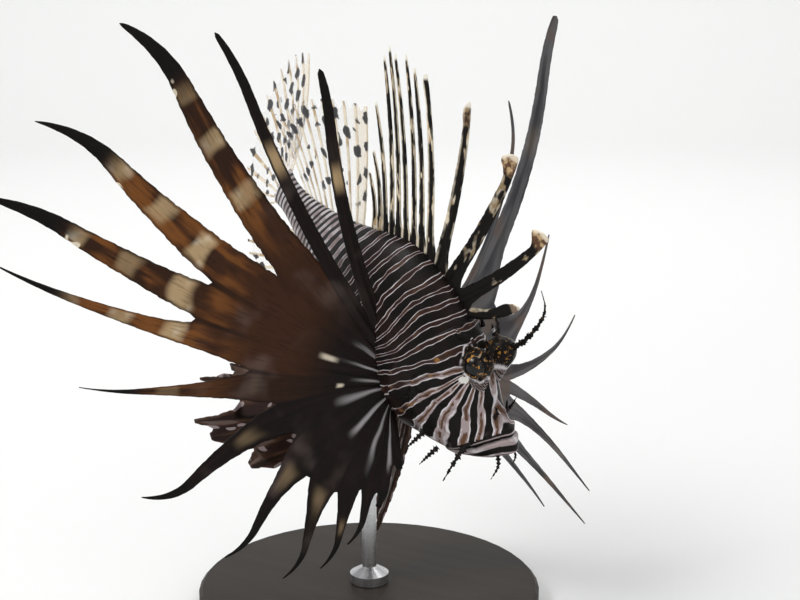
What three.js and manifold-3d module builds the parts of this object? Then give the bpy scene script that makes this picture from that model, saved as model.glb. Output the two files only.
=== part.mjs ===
// Red lionfish (Pterois volitans), a still life-size model on a display stand.
// Units are millimetres, +Z is up. The row's origin is the centre of the stand's underside.
// The fish is made in its own frame: origin at the tip of the snout, +X ahead, +Y to its left,
// +Z up. One group then pitches its nose down, banks it and lifts it onto the rod.
import * as THREE from "three";
import { mergeVertices } from "three/addons/utils/BufferGeometryUtils.js";
import Module from "manifold-3d";

const wasm = await Module();
wasm.setup();

// Driving sizes of the fish
const STANDARD_LENGTH = 150;          // snout to the root of the tail fin
const GAP = 0.3;                      // clearance between neighbouring nodes
const PITCH = THREE.MathUtils.degToRad(34);   // nose down
const ROLL = THREE.MathUtils.degToRad(9);     // left side up
const TAIL_BEND = THREE.MathUtils.degToRad(20);
const BEND_START = -0.38 * STANDARD_LENGTH;
const TAIL_FIN_SWING = THREE.MathUtils.degToRad(16);

// Eyes
const EYE = { x: -26.4, y: 10.2, z: 18.4, radius: 4.7 };
const SOCKET = { y: 7.4, radius: 6 };         // the raised orbit that holds the eyeball
const EYE_FLATNESS = 0.82;                    // across the fish, eyeball and orbit alike

// Stand
const BASE_RADIUS = 70;
const BASE_HEIGHT = 9;
const ROD_RADIUS = 3;
const ROD_FOOT_RADIUS = 8;

// The snout's tip, from the centre of the base's underside: the belly is then over the rod
const FISH_ORIGIN = { x: 71.8, y: -5, z: 84.3 };

// Outline of the body along its length: distance from the snout, then the value there
const BACK_LINE = [
  [-1.7, -6.2], [-0.8, -4.6], [1, -3.2], [3, -1.8], [5.5, -0.7], [9, 1.1], [15, 4.9], [19, 9.2], [23.5, 14],
  [29, 18.4],
  [35.4, 23], [43, 26.8], [50, 29.8], [57, 32], [65, 33.6], [73, 34], [80, 32.6], [88, 29],
  [97, 23.8], [110, 17.4], [123, 12.4], [134, 9.2], [143, 8], [150, 9.2],
];
const BELLY_LINE = [
  [-1.7, -6.8], [-0.8, -8.4], [1.5, -11.4], [4, -14.8], [7.5, -18], [12, -21.4], [17, -24.2], [26, -27.6],
  [38, -30.4], [50, -31.4],
  [64, -31], [78, -28], [92, -22.6], [106, -16.6], [120, -11.4], [132, -8.6], [142, -7.8],
  [150, -9.2],
];
const HALF_WIDTH = [
  [-1.7, 0.8], [-0.8, 2.8], [1, 4.8], [4, 7], [9, 9.6], [16, 12], [24, 13.8], [34, 15.4], [46, 17],
  [58, 17], [72, 14.8], [88, 11.6], [104, 8.6], [120, 5.8], [134, 3.8], [143, 2.8], [150, 2],
];

// A smooth curve through a few [place, value] pairs
function smoothLine(pairs) {
  const slopes = pairs.map((pair, i) => {
    const before = pairs[Math.max(i - 1, 0)];
    const after = pairs[Math.min(i + 1, pairs.length - 1)];
    return (after[1] - before[1]) / (after[0] - before[0]);
  });
  return (place) => {
    const last = pairs.length - 1;
    if (place <= pairs[0][0]) return pairs[0][1];
    if (place >= pairs[last][0]) return pairs[last][1];
    const i = pairs.findIndex((pair) => pair[0] > place) - 1;
    const span = pairs[i + 1][0] - pairs[i][0];
    const t = (place - pairs[i][0]) / span;
    const a = 2 * t ** 3 - 3 * t ** 2 + 1;
    const b = t ** 3 - 2 * t ** 2 + t;
    const c = t ** 3 - t ** 2;
    return a * pairs[i][1] + b * span * slopes[i] + (1 - a) * pairs[i + 1][1] + c * span * slopes[i + 1];
  };
}

const backLine = smoothLine(BACK_LINE);
const bellyLine = smoothLine(BELLY_LINE);
const halfWidth = smoothLine(HALF_WIDTH);

const bell = (distance, width) => Math.exp(-((distance / width) ** 2));
const mix = THREE.MathUtils.lerp;
const smoothstep = THREE.MathUtils.smoothstep;

// Distance from a point to a bent line of [x, z] points
function distanceToLine(x, z, line) {
  let best = Infinity;
  for (let i = 0; i + 1 < line.length; i += 1) {
    const [ax, az] = line[i];
    const [bx, bz] = line[i + 1];
    const t = THREE.MathUtils.clamp(
      ((x - ax) * (bx - ax) + (z - az) * (bz - az)) / ((bx - ax) ** 2 + (bz - az) ** 2), 0, 1);
    best = Math.min(best, Math.hypot(x - mix(ax, bx, t), z - mix(az, bz, t)));
  }
  return best;
}

// Lines on the side of the head, as [x, z]
const MOUTH_LINE = [[6, 0.6], [-1.6, -1.6], [-4.6, -3.2], [-7.6, -6.8], [-10.6, -11.2], [-17.6, -20.4]];
const JAW_HINGE_LINE = [[-17.6, -20.4], [-21.5, -24.5], [-24, -36]];
const GILL_COVER_EDGE = [[-39, 48], [-41, 25], [-46.5, 14], [-52, 3], [-52.4, -6], [-48.6, -15],
  [-43.4, -23], [-38, -34], [-36, -48]];
const CHEEK_RIDGE = [[-21, 1], [-29, -1.5], [-38, -2]];
const PREOPERCLE_EDGE = [[-38.5, 8], [-41, 0], [-39.5, -9], [-34, -17], [-27, -21]];
const MAXILLA = [[-6.5, -1.5], [-11.5, -7.5], [-17, -15]];

// How far the head's bones and folds stand out of the plain body, in millimetres
function relief(x, y, z, top) {
  const fromEye = Math.hypot(x - EYE.x, z - EYE.z);
  const side = smoothstep(Math.abs(y), 3, 7);
  let out = 0;
  out += 1 * bell(fromEye - SOCKET.radius, 2.4) * side;
  out -= 1 * top * bell(Math.abs(y), 4.5) * bell(x - EYE.x + 2, 10);
  out += 0.9 * bell(distanceToLine(x, z, CHEEK_RIDGE), 1.8) * side;
  out += 0.9 * bell(distanceToLine(x, z, PREOPERCLE_EDGE), 1.9) * side;
  out += 0.8 * bell(distanceToLine(x, z, GILL_COVER_EDGE) - 2.4, 2.2) * side;
  out += 1.1 * bell(distanceToLine(x, z, MAXILLA), 2) * side;
  out += 0.9 * bell(distanceToLine(x, z, MOUTH_LINE) - 1.8, 1.5);
  out -= 0.6 * bell(distanceToLine(x, z, MOUTH_LINE), 1);
  out += 0.9 * bell(Math.hypot(x + 11.5, z - 2.4), 1.8) * smoothstep(Math.abs(y), 2, 4);
  return out;
}

// A point of the body's skin: station from the snout, angle round it, distance outside the skin
function skinPoint(station, angle, offset) {
  const top = backLine(station);
  const bottom = bellyLine(station);
  const middle = mix(bottom, top, 0.46);
  const upper = Math.cos(angle) > 0;
  const rise = (upper ? top - middle : middle - bottom) * Math.cos(angle);
  const roof = upper ? 1 - 0.16 * Math.cos(angle) ** 2 : 1 - 0.1 * Math.cos(angle) ** 4;
  const width = halfWidth(station) * Math.sin(angle) * roof;
  const point = new THREE.Vector3(-station, width, middle + rise);
  const outward = new THREE.Vector3(0, Math.sin(angle) * (top - bottom) / 2,
    Math.cos(angle) * halfWidth(station)).normalize();
  const height = offset + relief(point.x, point.y, point.z, upper ? Math.cos(angle) : 0);
  return point.addScaledVector(outward, height * smoothstep(station, -2.5, 4));
}

// The tail is swung to the fish's left: a point turns with the place on the back that it belongs to
function bendWith(point, place) {
  if (place >= BEND_START) return point.clone();
  const run = BEND_START - place;
  const curvature = TAIL_BEND / (STANDARD_LENGTH + BEND_START);
  const turn = curvature * run;
  const axis = new THREE.Vector3(BEND_START - Math.sin(turn) / curvature,
    (1 - Math.cos(turn)) / curvature, 0);
  const local = new THREE.Vector3(point.x - place, point.y, point.z);
  return local.applyAxisAngle(new THREE.Vector3(0, 0, 1), -turn).add(axis);
}

// Closed geometries and solids
function closedGeometry(points, triangles) {
  const geometry = new THREE.BufferGeometry();
  geometry.setAttribute("position", new THREE.Float32BufferAttribute(points.flatMap((p) => [p.x, p.y, p.z]), 3));
  geometry.setIndex(triangles.flat());
  return geometry;
}

function solid(geometry) {
  const bare = geometry.clone();
  bare.deleteAttribute("normal");
  bare.deleteAttribute("uv");
  const merged = mergeVertices(bare, 1e-4);
  return new wasm.Manifold(new wasm.Mesh({
    numProp: 3,
    vertProperties: new Float32Array(merged.attributes.position.array),
    triVerts: new Uint32Array(merged.index.array),
  }));
}

function geometryOf(body) {
  const mesh = body.getMesh();
  const geometry = new THREE.BufferGeometry();
  geometry.setAttribute("position", new THREE.Float32BufferAttribute(mesh.vertProperties, 3));
  geometry.setIndex([...mesh.triVerts]);
  return geometry;
}

// The largest closed surface of a solid
function largest(body) {
  const volume = (piece) => {
    const mesh = piece.getMesh();
    const corner = (i) => new THREE.Vector3().fromArray(mesh.vertProperties, 3 * mesh.triVerts[i]);
    let sum = 0;
    for (let i = 0; i < mesh.triVerts.length; i += 3) {
      sum += corner(i).dot(corner(i + 1).cross(corner(i + 2))) / 6;
    }
    return sum;
  };
  return body.decompose().reduce((best, piece) => (volume(piece) > volume(best) ? piece : best));
}

function moved(body, move) {
  const mesh = body.getMesh();
  const vertProperties = new Float32Array(mesh.vertProperties.length);
  for (let i = 0; i < vertProperties.length; i += 3) {
    move(new THREE.Vector3().fromArray(mesh.vertProperties, i)).toArray(vertProperties, i);
  }
  return new wasm.Manifold(new wasm.Mesh({ numProp: 3, vertProperties, triVerts: mesh.triVerts }));
}

// A prism across the fish whose outline is given in x and z
function sidePrism(outline) {
  const shape = new THREE.Shape(outline.map(([x, z]) => new THREE.Vector2(x, z)));
  const geometry = new THREE.ExtrudeGeometry(shape, { depth: 120, bevelEnabled: false });
  geometry.translate(0, 0, -60);
  geometry.rotateX(Math.PI / 2);
  return solid(geometry);
}

const vector = (x, y, z) => new THREE.Vector3(x, y, z);
const sides = [["right", -1], ["left", 1]];

// A ball flattened across the fish, level with the eyes
function flatBall(y, radius) {
  const ball = new THREE.SphereGeometry(radius, 20, 14);
  ball.rotateX(Math.PI / 2);
  ball.scale(1, EYE_FLATNESS, 1);
  ball.translate(EYE.x, y, EYE.z);
  return solid(ball);
}
const eyeBall = (side, radius) => flatBall(side * EYE.y, radius);

// The whole body without its fins, as one closed skin
const BODY_STEPS = [-1.5, -0.8, 0.4, 2, 3.6, 5.6, 7.8, 10, 12, 14, 16, 18, 20, 22.5, 25, 27.5, 30, 32.5, 35,
  37.5, 40, 42.5, 45, 48, 51, 54, 58, 63, 69, 76, 84, 92, 100, 108, 116, 125, 134, 142, 149.5];
const AROUND = 34;
const NOSE = { x: 1.7, z: -6.5 };

function bodySkin(offset) {
  const points = [];
  const triangles = [];
  for (const station of BODY_STEPS) {
    for (let j = 0; j < AROUND; j += 1) {
      points.push(skinPoint(station, (2 * Math.PI * j) / AROUND, offset));
    }
  }
  const nose = points.push(new THREE.Vector3(NOSE.x + offset, 0, NOSE.z)) - 1;
  const rear = points.push(new THREE.Vector3(-STANDARD_LENGTH - offset, 0, 0)) - 1;
  const lastRing = (BODY_STEPS.length - 1) * AROUND;
  for (let j = 0; j < AROUND; j += 1) {
    const next = (j + 1) % AROUND;
    triangles.push([nose, next, j], [rear, lastRing + j, lastRing + next]);
    for (let i = 0; i < BODY_STEPS.length - 1; i += 1) {
      const a = i * AROUND + j;
      const b = i * AROUND + next;
      triangles.push([a, b, a + AROUND], [b, b + AROUND, a + AROUND]);
    }
  }
  const body = solid(closedGeometry(points, triangles));
  return sides.reduce((made, [, side]) => made.add(flatBall(side * SOCKET.y, SOCKET.radius + offset)), body);
}

// Fins: a fan of rays with a thin web between them, closed by construction
// A ray has a root, a tip, the face's normal, a bow and a hook towards the next ray, and a lift
// along the normal
function rayStations(ray, turned, steps, spread) {
  const chord = ray.tip.clone().sub(ray.root);
  const along = chord.clone().normalize();
  const face = ray.normal.clone().addScaledVector(along, -ray.normal.dot(along)).normalize()
    .multiplyScalar(turned);
  const across = face.clone().cross(along);
  const at = (t) => ray.root.clone()
    .addScaledVector(chord, t)
    .addScaledVector(across, (ray.bow ?? 0) * 4 * t * (1 - t) + (ray.hook ?? 0) * Math.max(0, (t - 0.82) / 0.18) ** 2)
    .addScaledVector(face, turned * (ray.lift ?? 0) * 4 * t * (1 - t));
  const stations = [];
  for (let k = 0; k <= steps; k += 1) {
    const t = (k / steps) ** spread;
    const tangent = at(t + 0.01).sub(at(t - 0.01)).normalize();
    const normal = face.clone().addScaledVector(tangent, -face.dot(tangent)).normalize();
    stations.push({ t, centre: at(t), tangent, normal, across: normal.clone().cross(tangent) });
  }
  return stations;
}

function fanFin({ rays, webs, steps, spread = 1, ridge, width, edge = 0.27 }) {
  const points = [];
  const triangles = [];
  const add = (centre, normal, half) => {
    points.push(centre.clone().addScaledVector(normal, half));
    points.push(centre.clone().addScaledVector(normal, -half));
    return points.length - 2;
  };
  const firstRay = rays[0].tip.clone().sub(rays[0].root);
  const towardsNext = rays[1].tip.clone().sub(rays[0].tip);
  const turned = rays[0].normal.clone().cross(firstRay).dot(towardsNext) < 0 ? -1 : 1;
  const fan = rays.map((ray) => rayStations(ray, turned, steps, spread));
  const centres = fan.map((line, i) => line.map((s) => add(s.centre, s.normal, ridge(s.t, i))));
  const margins = fan.map(() => ({ previous: [], next: [] }));
  fan.forEach((line, i) => {
    line.forEach((s, k) => {
      const web = webs[i] ?? -1;
      const neighbour = fan[i + 1]?.[k];
      if (neighbour && k <= web) {
        const middle = s.centre.clone().lerp(neighbour.centre, 0.5);
        const normal = s.normal.clone().add(neighbour.normal).normalize();
        const shared = add(middle, normal, edge);
        margins[i].next[k] = shared;
        margins[i + 1].previous[k] = shared;
      }
    });
  });
  // Past its web a ray keeps a free margin that narrows from the notch
  const freeMargin = (i, k, sign, web, other) => {
    const s = fan[i][k];
    let reach = width(s.t, i, sign);
    if (web >= 0 && other) {
      const notch = s.centre.distanceTo(other[k].centre) * 0.36;
      const halfWeb = fan[i][web].centre.distanceTo(other[web].centre) * 0.5;
      reach += Math.max(0, Math.min(notch, halfWeb) - reach) * Math.exp(-(k - web) / 0.9);
    }
    return add(s.centre.clone().addScaledVector(s.across, sign * reach), s.normal, edge);
  };
  fan.forEach((line, i) => {
    for (let k = 0; k <= steps; k += 1) {
      const webNext = i + 1 < fan.length ? webs[i] : -1;
      const webPrevious = i > 0 ? webs[i - 1] : -1;
      margins[i].next[k] ??= freeMargin(i, k, 1, webNext, fan[i + 1]);
      margins[i].previous[k] ??= freeMargin(i, k, -1, webPrevious, fan[i - 1]);
    }
  });
  const quad = (a, b, c, d) => triangles.push([a, b, c], [a, c, d]);
  fan.forEach((line, i) => {
    const webNext = i + 1 < fan.length ? webs[i] : -1;
    const webPrevious = i > 0 ? webs[i - 1] : -1;
    for (let k = 0; k < steps; k += 1) {
      const c = centres[i][k];
      const d = centres[i][k + 1];
      const n = margins[i].next[k];
      const m = margins[i].next[k + 1];
      const p = margins[i].previous[k];
      const q = margins[i].previous[k + 1];
      quad(c, d, m, n);
      quad(n + 1, m + 1, d + 1, c + 1);
      quad(p, q, d, c);
      quad(c + 1, d + 1, q + 1, p + 1);
      if (k >= webNext) quad(n, m, m + 1, n + 1);
      if (k >= webPrevious) quad(p + 1, q + 1, q, p);
    }
    const rootRow = [margins[i].previous[0], centres[i][0], margins[i].next[0]];
    const tipRow = [margins[i].previous[steps], centres[i][steps], margins[i].next[steps]];
    for (const side of [0, 1]) {
      quad(rootRow[side], rootRow[side + 1], rootRow[side + 1] + 1, rootRow[side] + 1);
      quad(tipRow[side] + 1, tipRow[side + 1] + 1, tipRow[side + 1], tipRow[side]);
    }
  });
  return solid(closedGeometry(points, triangles));
}

// A soft tapering strand through a few points, flattened and frilled at its sides
function strand(route, thickness, width, { steps = 9, sides = 6, frill = 0.3, waves = 3, across } = {}) {
  const curve = new THREE.CatmullRomCurve3(route);
  const points = [];
  const triangles = [];
  for (let k = 0; k <= steps; k += 1) {
    const t = k / steps;
    const centre = curve.getPoint(t);
    const tangent = curve.getTangent(t);
    const side = across.clone().addScaledVector(tangent, -across.dot(tangent)).normalize();
    const face = tangent.clone().cross(side);
    const taper = 1 - 0.8 * t;
    for (let j = 0; j < sides; j += 1) {
      const angle = (2 * Math.PI * j) / sides;
      const wave = 1 + frill * Math.sin(2 * Math.PI * waves * t + (j > sides / 2 ? 2 : 0));
      points.push(centre.clone()
        .addScaledVector(side, Math.cos(angle) * width * taper * wave)
        .addScaledVector(face, Math.sin(angle) * thickness * Math.max(taper, 0.3)));
    }
  }
  const start = points.push(curve.getPoint(0)) - 1;
  const end = points.push(curve.getPoint(1)) - 1;
  for (let j = 0; j < sides; j += 1) {
    const next = (j + 1) % sides;
    triangles.push([start, next, j], [end, steps * sides + j, steps * sides + next]);
    for (let k = 0; k < steps; k += 1) {
      const a = k * sides + j;
      const b = k * sides + next;
      triangles.push([a, b, b + sides], [a, b + sides, a + sides]);
    }
  }
  return solid(closedGeometry(points, triangles));
}

// A short cone that leans back: a head spine
function thorn(foot, lean, length, radius) {
  const cone = new THREE.ConeGeometry(radius, length, 5);
  cone.translate(0, length / 2 - 1.2, 0);
  cone.applyQuaternion(new THREE.Quaternion().setFromUnitVectors(
    new THREE.Vector3(0, 1, 0), lean.clone().normalize()));
  cone.translate(foot.x, foot.y, foot.z);
  return solid(cone);
}

// The skin, and a copy of it one gap outside, which trims all that grows from it
const straightSkin = bodySkin(0);
const straightSleeve = bodySkin(GAP);
const bendAtOwnPlace = (point) => bendWith(point, point.x);
const sleeve = moved(straightSleeve, bendAtOwnPlace);

// Head, jaw, trunk and tail stalk, parted by thin cuts
const shifted = (line, dx, dz) => line.map(([x, z]) => [x + dx, z + dz]);
const jawBorder = [...MOUTH_LINE, ...JAW_HINGE_LINE.slice(1)];
const jawCut = (dx, dz) => sidePrism([...shifted(jawBorder, dx, dz), [12, -36]]);
const behindGill = (dx) => sidePrism([...shifted(GILL_COVER_EDGE, dx, 0), [-170, -48], [-170, 48]]);
const STALK_START = -117;
const stalkCut = (x) => sidePrism([[x, -48], [x, 48], [-170, 48], [-170, -48]]);

let head = straightSkin.subtract(behindGill(0)).subtract(jawCut(0, 0));
for (const [, side] of sides) {
  head = head.subtract(eyeBall(side, EYE.radius + GAP));
  // Spines over the eye, on the nape and along the cheek and gill cover
  const thorns = [
    [vector(-24, side * 6.2, 22.6), vector(-0.8, side * 0.2, 0.7), 3.6, 1.1],
    [vector(-32.5, side * 6.6, 23.4), vector(-0.85, side * 0.2, 0.6), 3.8, 1.2],
    [vector(-38.5, side * 7.4, 22.4), vector(-0.85, side * 0.3, 0.5), 3.6, 1.2],
    [vector(-41, side * 17, 0), vector(-0.8, side * 0.6, 0), 3.8, 1.3],
    [vector(-39.5, side * 15.9, -9), vector(-0.7, side * 0.7, -0.2), 3.6, 1.3],
    [vector(-34, side * 13.2, -17), vector(-0.6, side * 0.7, -0.3), 3.4, 1.2],
    [vector(-12, side * 3.4, 4.4), vector(-0.6, side * 0.4, 0.6), 2.8, 0.9],
  ];
  for (const [foot, lean, length, radius] of thorns) head = head.add(thorn(foot, lean, length, radius));
  // Fleshy flaps beside the mouth, on the snout and at the cheek's lower edge
  head = head.add(strand([vector(-14, side * 9, -5), vector(-12.1, side * 15, -14.4),
    vector(-10.2, side * 21, -24.1)], 0.55, 1.9, { across: vector(0.8, 0, 0.6), frill: 0.35, steps: 8 }));
  head = head.add(strand([vector(-11.5, side * 4, 1), vector(-11, side * 5.2, 4.6),
    vector(-11.5, side * 6.6, 8)], 0.4, 1, { across: vector(1, 0, 0), steps: 4 }));
  head = head.add(strand([vector(-22, side * 11.5, -22), vector(-22.8, side * 14.2, -27),
    vector(-23.3, side * 16, -31)], 0.45, 1.2, { across: vector(1, 0, 0), steps: 5 }));
  head = head.add(strand([vector(-29.6, side * 12.6, -20), vector(-30.1, side * 16, -24.4),
    vector(-30.6, side * 18, -28)], 0.45, 1.3, { across: vector(1, 0, 0), steps: 5 }));
}
head = largest(head);

let jaw = straightSkin.intersect(jawCut(0.26, -0.26));
for (const [, side] of sides) {
  jaw = jaw.add(strand([vector(-3, side * 4.4, -9.5), vector(0.6, side * 6, -13),
    vector(1.4, side * 7.5, -19)], 0.4, 1, { across: vector(1, 0, 0), steps: 5 }));
}
jaw = largest(jaw);

const behind = straightSkin.intersect(behindGill(-0.42));
const trunk = largest(behind.subtract(stalkCut(STALK_START)));
const stalk = largest(behind.intersect(stalkCut(STALK_START - GAP)));

// Brow tentacles: a thick fleshy root over each eye, tapering as it rises and leans back
const BROW_ROUTES = {
  right: [[-26.6, 6.6, 21.2], [-24.6, 8.6, 26], [-24.8, 9, 31], [-26.6, 8.5, 37], [-30, 8, 40], [-32.7, 7.5, 41.5]],
  left: [[-25.6, 6.8, 21.2], [-22.4, 8.8, 25], [-20.7, 10, 32], [-20.4, 10.5, 40], [-22, 10.5, 45],
    [-26.2, 10, 49.5]],
};
const browTentacle = (name, side) => largest(strand(
  BROW_ROUTES[name].map(([x, y, z]) => vector(x, side * y, z)),
  0.7, 1.35, { across: vector(1, 0, 0), steps: 14, frill: 0.25, waves: 4 })
  .subtract(sleeve).subtract(eyeBall(side, EYE.radius + GAP)));
const browTentacles = { right: browTentacle("right", -1), left: browTentacle("left", 1) };

// Place on the bent back or belly for a fin that stands on the midline
const MIDLINE_SINK = 4;
function midlineRay(place, footHeight, leanBack, length, extra = {}) {
  const direction = vector(-Math.sin(leanBack), 0, Math.cos(leanBack) * Math.sign(footHeight));
  const foot = vector(place, 0, footHeight).addScaledVector(direction, -MIDLINE_SINK);
  const tip = vector(place, 0, footHeight).addScaledVector(direction, length);
  const normal = vector(0, footHeight > 0 ? 1 : -1, 0);
  const sideways = extra.sideways ?? 0;
  tip.y += sideways;
  return {
    root: bendWith(foot, place),
    tip: bendWith(tip, place),
    normal: bendWith(normal.add(vector(place, 0, 0)), place).sub(bendWith(vector(place, 0, 0), place)),
    ...extra,
  };
}
const radians = THREE.MathUtils.degToRad;

// Spiny dorsal fin: thirteen venom spines, nearly free, each with its fleshy skin behind it
const SPINE_LENGTHS = [24, 48.5, 61.5, 66.5, 69.5, 69, 71, 70, 72, 67.5, 50, 31, 22];
const SPINE_LEANS = [-45, -21, 0, 18, 31, 32, 34, 34.5, 34, 35, 35.5, 37, 38];
const SPINE_PLACES = smoothLine([[0, -43.5], [1, -48.5], [2, -55.5], [4, -68], [8, -84], [12, -96]]);
const dorsalRays = SPINE_LENGTHS.map((length, i) => {
  const place = SPINE_PLACES(i);
  return midlineRay(place, backLine(-place), radians(SPINE_LEANS[i]), length,
    { bow: -2.2, sideways: 1.2 * Math.sin(2.3 * i) });
});
// Half the breadth of each spine's fleshy blade. Knobs at the tips of the first spines: how far they
// stand out, their place along the spine and their spread.
const SPINE_BLADES = [2.0, 2.9, 2.9, 2.4, 1.6, 1.2, 1.1, 1.1, 1.1, 1.1, 1.1, 1.1, 1.1];
const TIP_KNOBS = [[1.7, 0.8, 0.22], [4.6, 0.95, 0.06], [4, 0.95, 0.06], [1, 0.95, 0.06], [0.9, 0.95, 0.06]];
function knob(i, t, side) {
  if (i >= TIP_KNOBS.length || side < 0) return 0;
  const [stand, middle, spread] = TIP_KNOBS[i];
  return stand * bell(t - middle, spread);
}
const spinyDorsal = largest(fanFin({
  rays: dorsalRays,
  webs: dorsalRays.slice(1).map(() => 3),
  steps: 9,
  spread: 1.25,
  ridge: (t) => mix(1.05, 0.3, t),
  width: (t, i, side) => (side > 0 ? 1.3 : 0.6) * SPINE_BLADES[i] * (1 - t) ** 0.3 + 0.3 + knob(i, t, side),
}).subtract(sleeve));

// Soft dorsal fin
const SOFT_DORSAL_RAYS = 11;
const softDorsalRays = Array.from({ length: SOFT_DORSAL_RAYS }, (unused, i) => {
  const part = i / (SOFT_DORSAL_RAYS - 1);
  const place = mix(-100.5, -135, part);
  return midlineRay(place, backLine(-place), radians(mix(30, 78, part ** 1.1)),
    mix(46.5, 38, part) + 3 * Math.sin(Math.PI * part), { bow: -1.2, sideways: 2 * part });
});
const softDorsal = largest(fanFin({
  rays: softDorsalRays,
  webs: softDorsalRays.slice(1).map(() => 6),
  steps: 7,
  ridge: (t) => mix(0.7, 0.35, t),
  width: (t) => mix(0.8, 0.5, t),
}).subtract(sleeve));

// Anal fin: three short spines, then soft rays
const ANAL_LENGTHS = [12, 20, 27, 37, 40, 41, 40, 37, 33, 28];
const analRays = ANAL_LENGTHS.map((length, i) => {
  const part = i / (ANAL_LENGTHS.length - 1);
  const place = mix(-104, -131, part);
  return midlineRay(place, bellyLine(-place), radians(mix(28, 66, part)), length, { bow: 1 });
}).reverse();
const analFin = largest(fanFin({
  rays: analRays,
  webs: analRays.slice(1).map((unused, i) => (i < 7 ? 6 : 4)),
  steps: 7,
  ridge: (t) => mix(0.75, 0.35, t),
  width: (t) => mix(0.8, 0.5, t),
}).subtract(sleeve));

// Tail fin
const TAIL_RAYS = 13;
const tailRays = Array.from({ length: TAIL_RAYS }, (unused, i) => {
  const part = i / (TAIL_RAYS - 1);
  const fan = radians(mix(50, -42, part));
  const length = 50 - 4 * part + 10 * Math.sin(Math.PI * part);
  const swing = vector(-Math.cos(TAIL_FIN_SWING), Math.sin(TAIL_FIN_SWING), 0);
  const direction = swing.clone().multiplyScalar(Math.cos(fan)).add(vector(0, 0, Math.sin(fan)));
  const foot = vector(-149, 0.3, mix(7, -7, part));
  return {
    root: bendWith(foot.clone().addScaledVector(direction, -2), -149),
    tip: bendWith(foot.clone().addScaledVector(direction, length), -149),
    normal: vector(Math.sin(TAIL_BEND + TAIL_FIN_SWING), Math.cos(TAIL_BEND + TAIL_FIN_SWING), 0),
    bow: 2.5 * (part - 0.5),
    lift: 2.2,
  };
});
const tailFin = largest(fanFin({
  rays: tailRays,
  webs: tailRays.slice(1).map(() => 7),
  steps: 8,
  ridge: (t) => mix(0.85, 0.35, t),
  width: (t) => mix(0.9, 0.6, t),
}).subtract(sleeve));

// Pectoral fins: a fan in one plane, given by the plane's normal. Each ray has its angle from the
// plane's upward direction, its length, its bow and hook towards the next ray, half its blade's
// breadth and how fast that tapers, and how far its tip stands ahead of the plane.
const ray = (angle, length, bow, hook, blade, taper, ahead = 0) => (
  { angle, length, bow, hook, blade, taper, ahead });
const PECTORAL_CENTRE = { x: -56, y: 15, z: -11 };
const ROOT_TOP = { x: -55.6, y: 15.6, z: -5 };
const ROOT_BOTTOM = { x: -47.6, y: 14, z: -26 };
const PECTORALS = {
  right: {
    normal: vector(0.635, -0.514, 0.57),
    rays: [
      ray(24, 118, 5.8, 2.6, 3.0, 0.25), ray(38, 143, 5.7, 4.1, 3.0, 0.3),
      ray(46, 163, 9.4, 11.1, 9.0, 0.55), ray(62, 160, 8.8, 10.9, 12.4, 0.8),
      ray(75, 161, 6.0, 5.6, 8.4, 0.6), ray(85, 152, 5.2, -1.2, 6.7, 1.0),
      ray(103, 115, 0.5, -2.0, 10.0, 1.4), ray(133, 102, -11.3, -11.4, 7.6, 0.8),
      ray(155, 92, -10.1, -7.7, 5.5, 0.8), ray(171, 88, -8.0, -7.5, 4.2, 0.8),
      ray(179, 80, -3.3, -5.4, 3.9, 0.8), ray(185, 69, 0.2, -4.0, 3.0, 0.8),
      ray(195, 54, 0, -3.0, 2.8, 0.8), ray(206, 40, 0, 0, 2.4, 0.8),
    ],
    // How far from the root each web ends in its notch
    webs: [15, 17, 60, 81, 82, 59, 47, 42, 46, 43, 38, 36, 30],
  },
  left: {
    normal: vector(0.7, -0.15, 0.7),
    rays: [
      ray(30, 105, 10.0, -6.0, 1.4, 0.3, 14), ray(35, 162, 17.9, 5.9, 4.6, 0.2),
      ray(64, 86, 22.0, 1.8, 1.8, 0.5), ray(93, 89, 15.6, -3.9, 4.4, 0.9),
      ray(123, 90, -5.4, -2.1, 4.4, 0.9), ray(133, 117, -8.7, -1.0, 3.6, 0.9),
      ray(139, 123, -3.5, -0.4, 3.2, 0.9), ray(144, 97, -1.8, 0.5, 2.4, 0.8),
      ray(150, 52, 0, 0, 2.4, 0.8), ray(156, 38, 0, 0, 2.2, 0.8),
      ray(163, 31, 0, 0, 2.0, 0.8), ray(172, 27, 0, 0, 1.8, 0.8),
      ray(182, 25, 0, 0, 1.6, 0.8), ray(192, 24, 0, 0, 1.6, 0.8),
    ],
    webs: [24, 42, 40, 44, 52, 56, 50, 32, 26, 22, 19, 17, 16],
  },
};
const PECTORAL_STEPS = 10;

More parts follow.
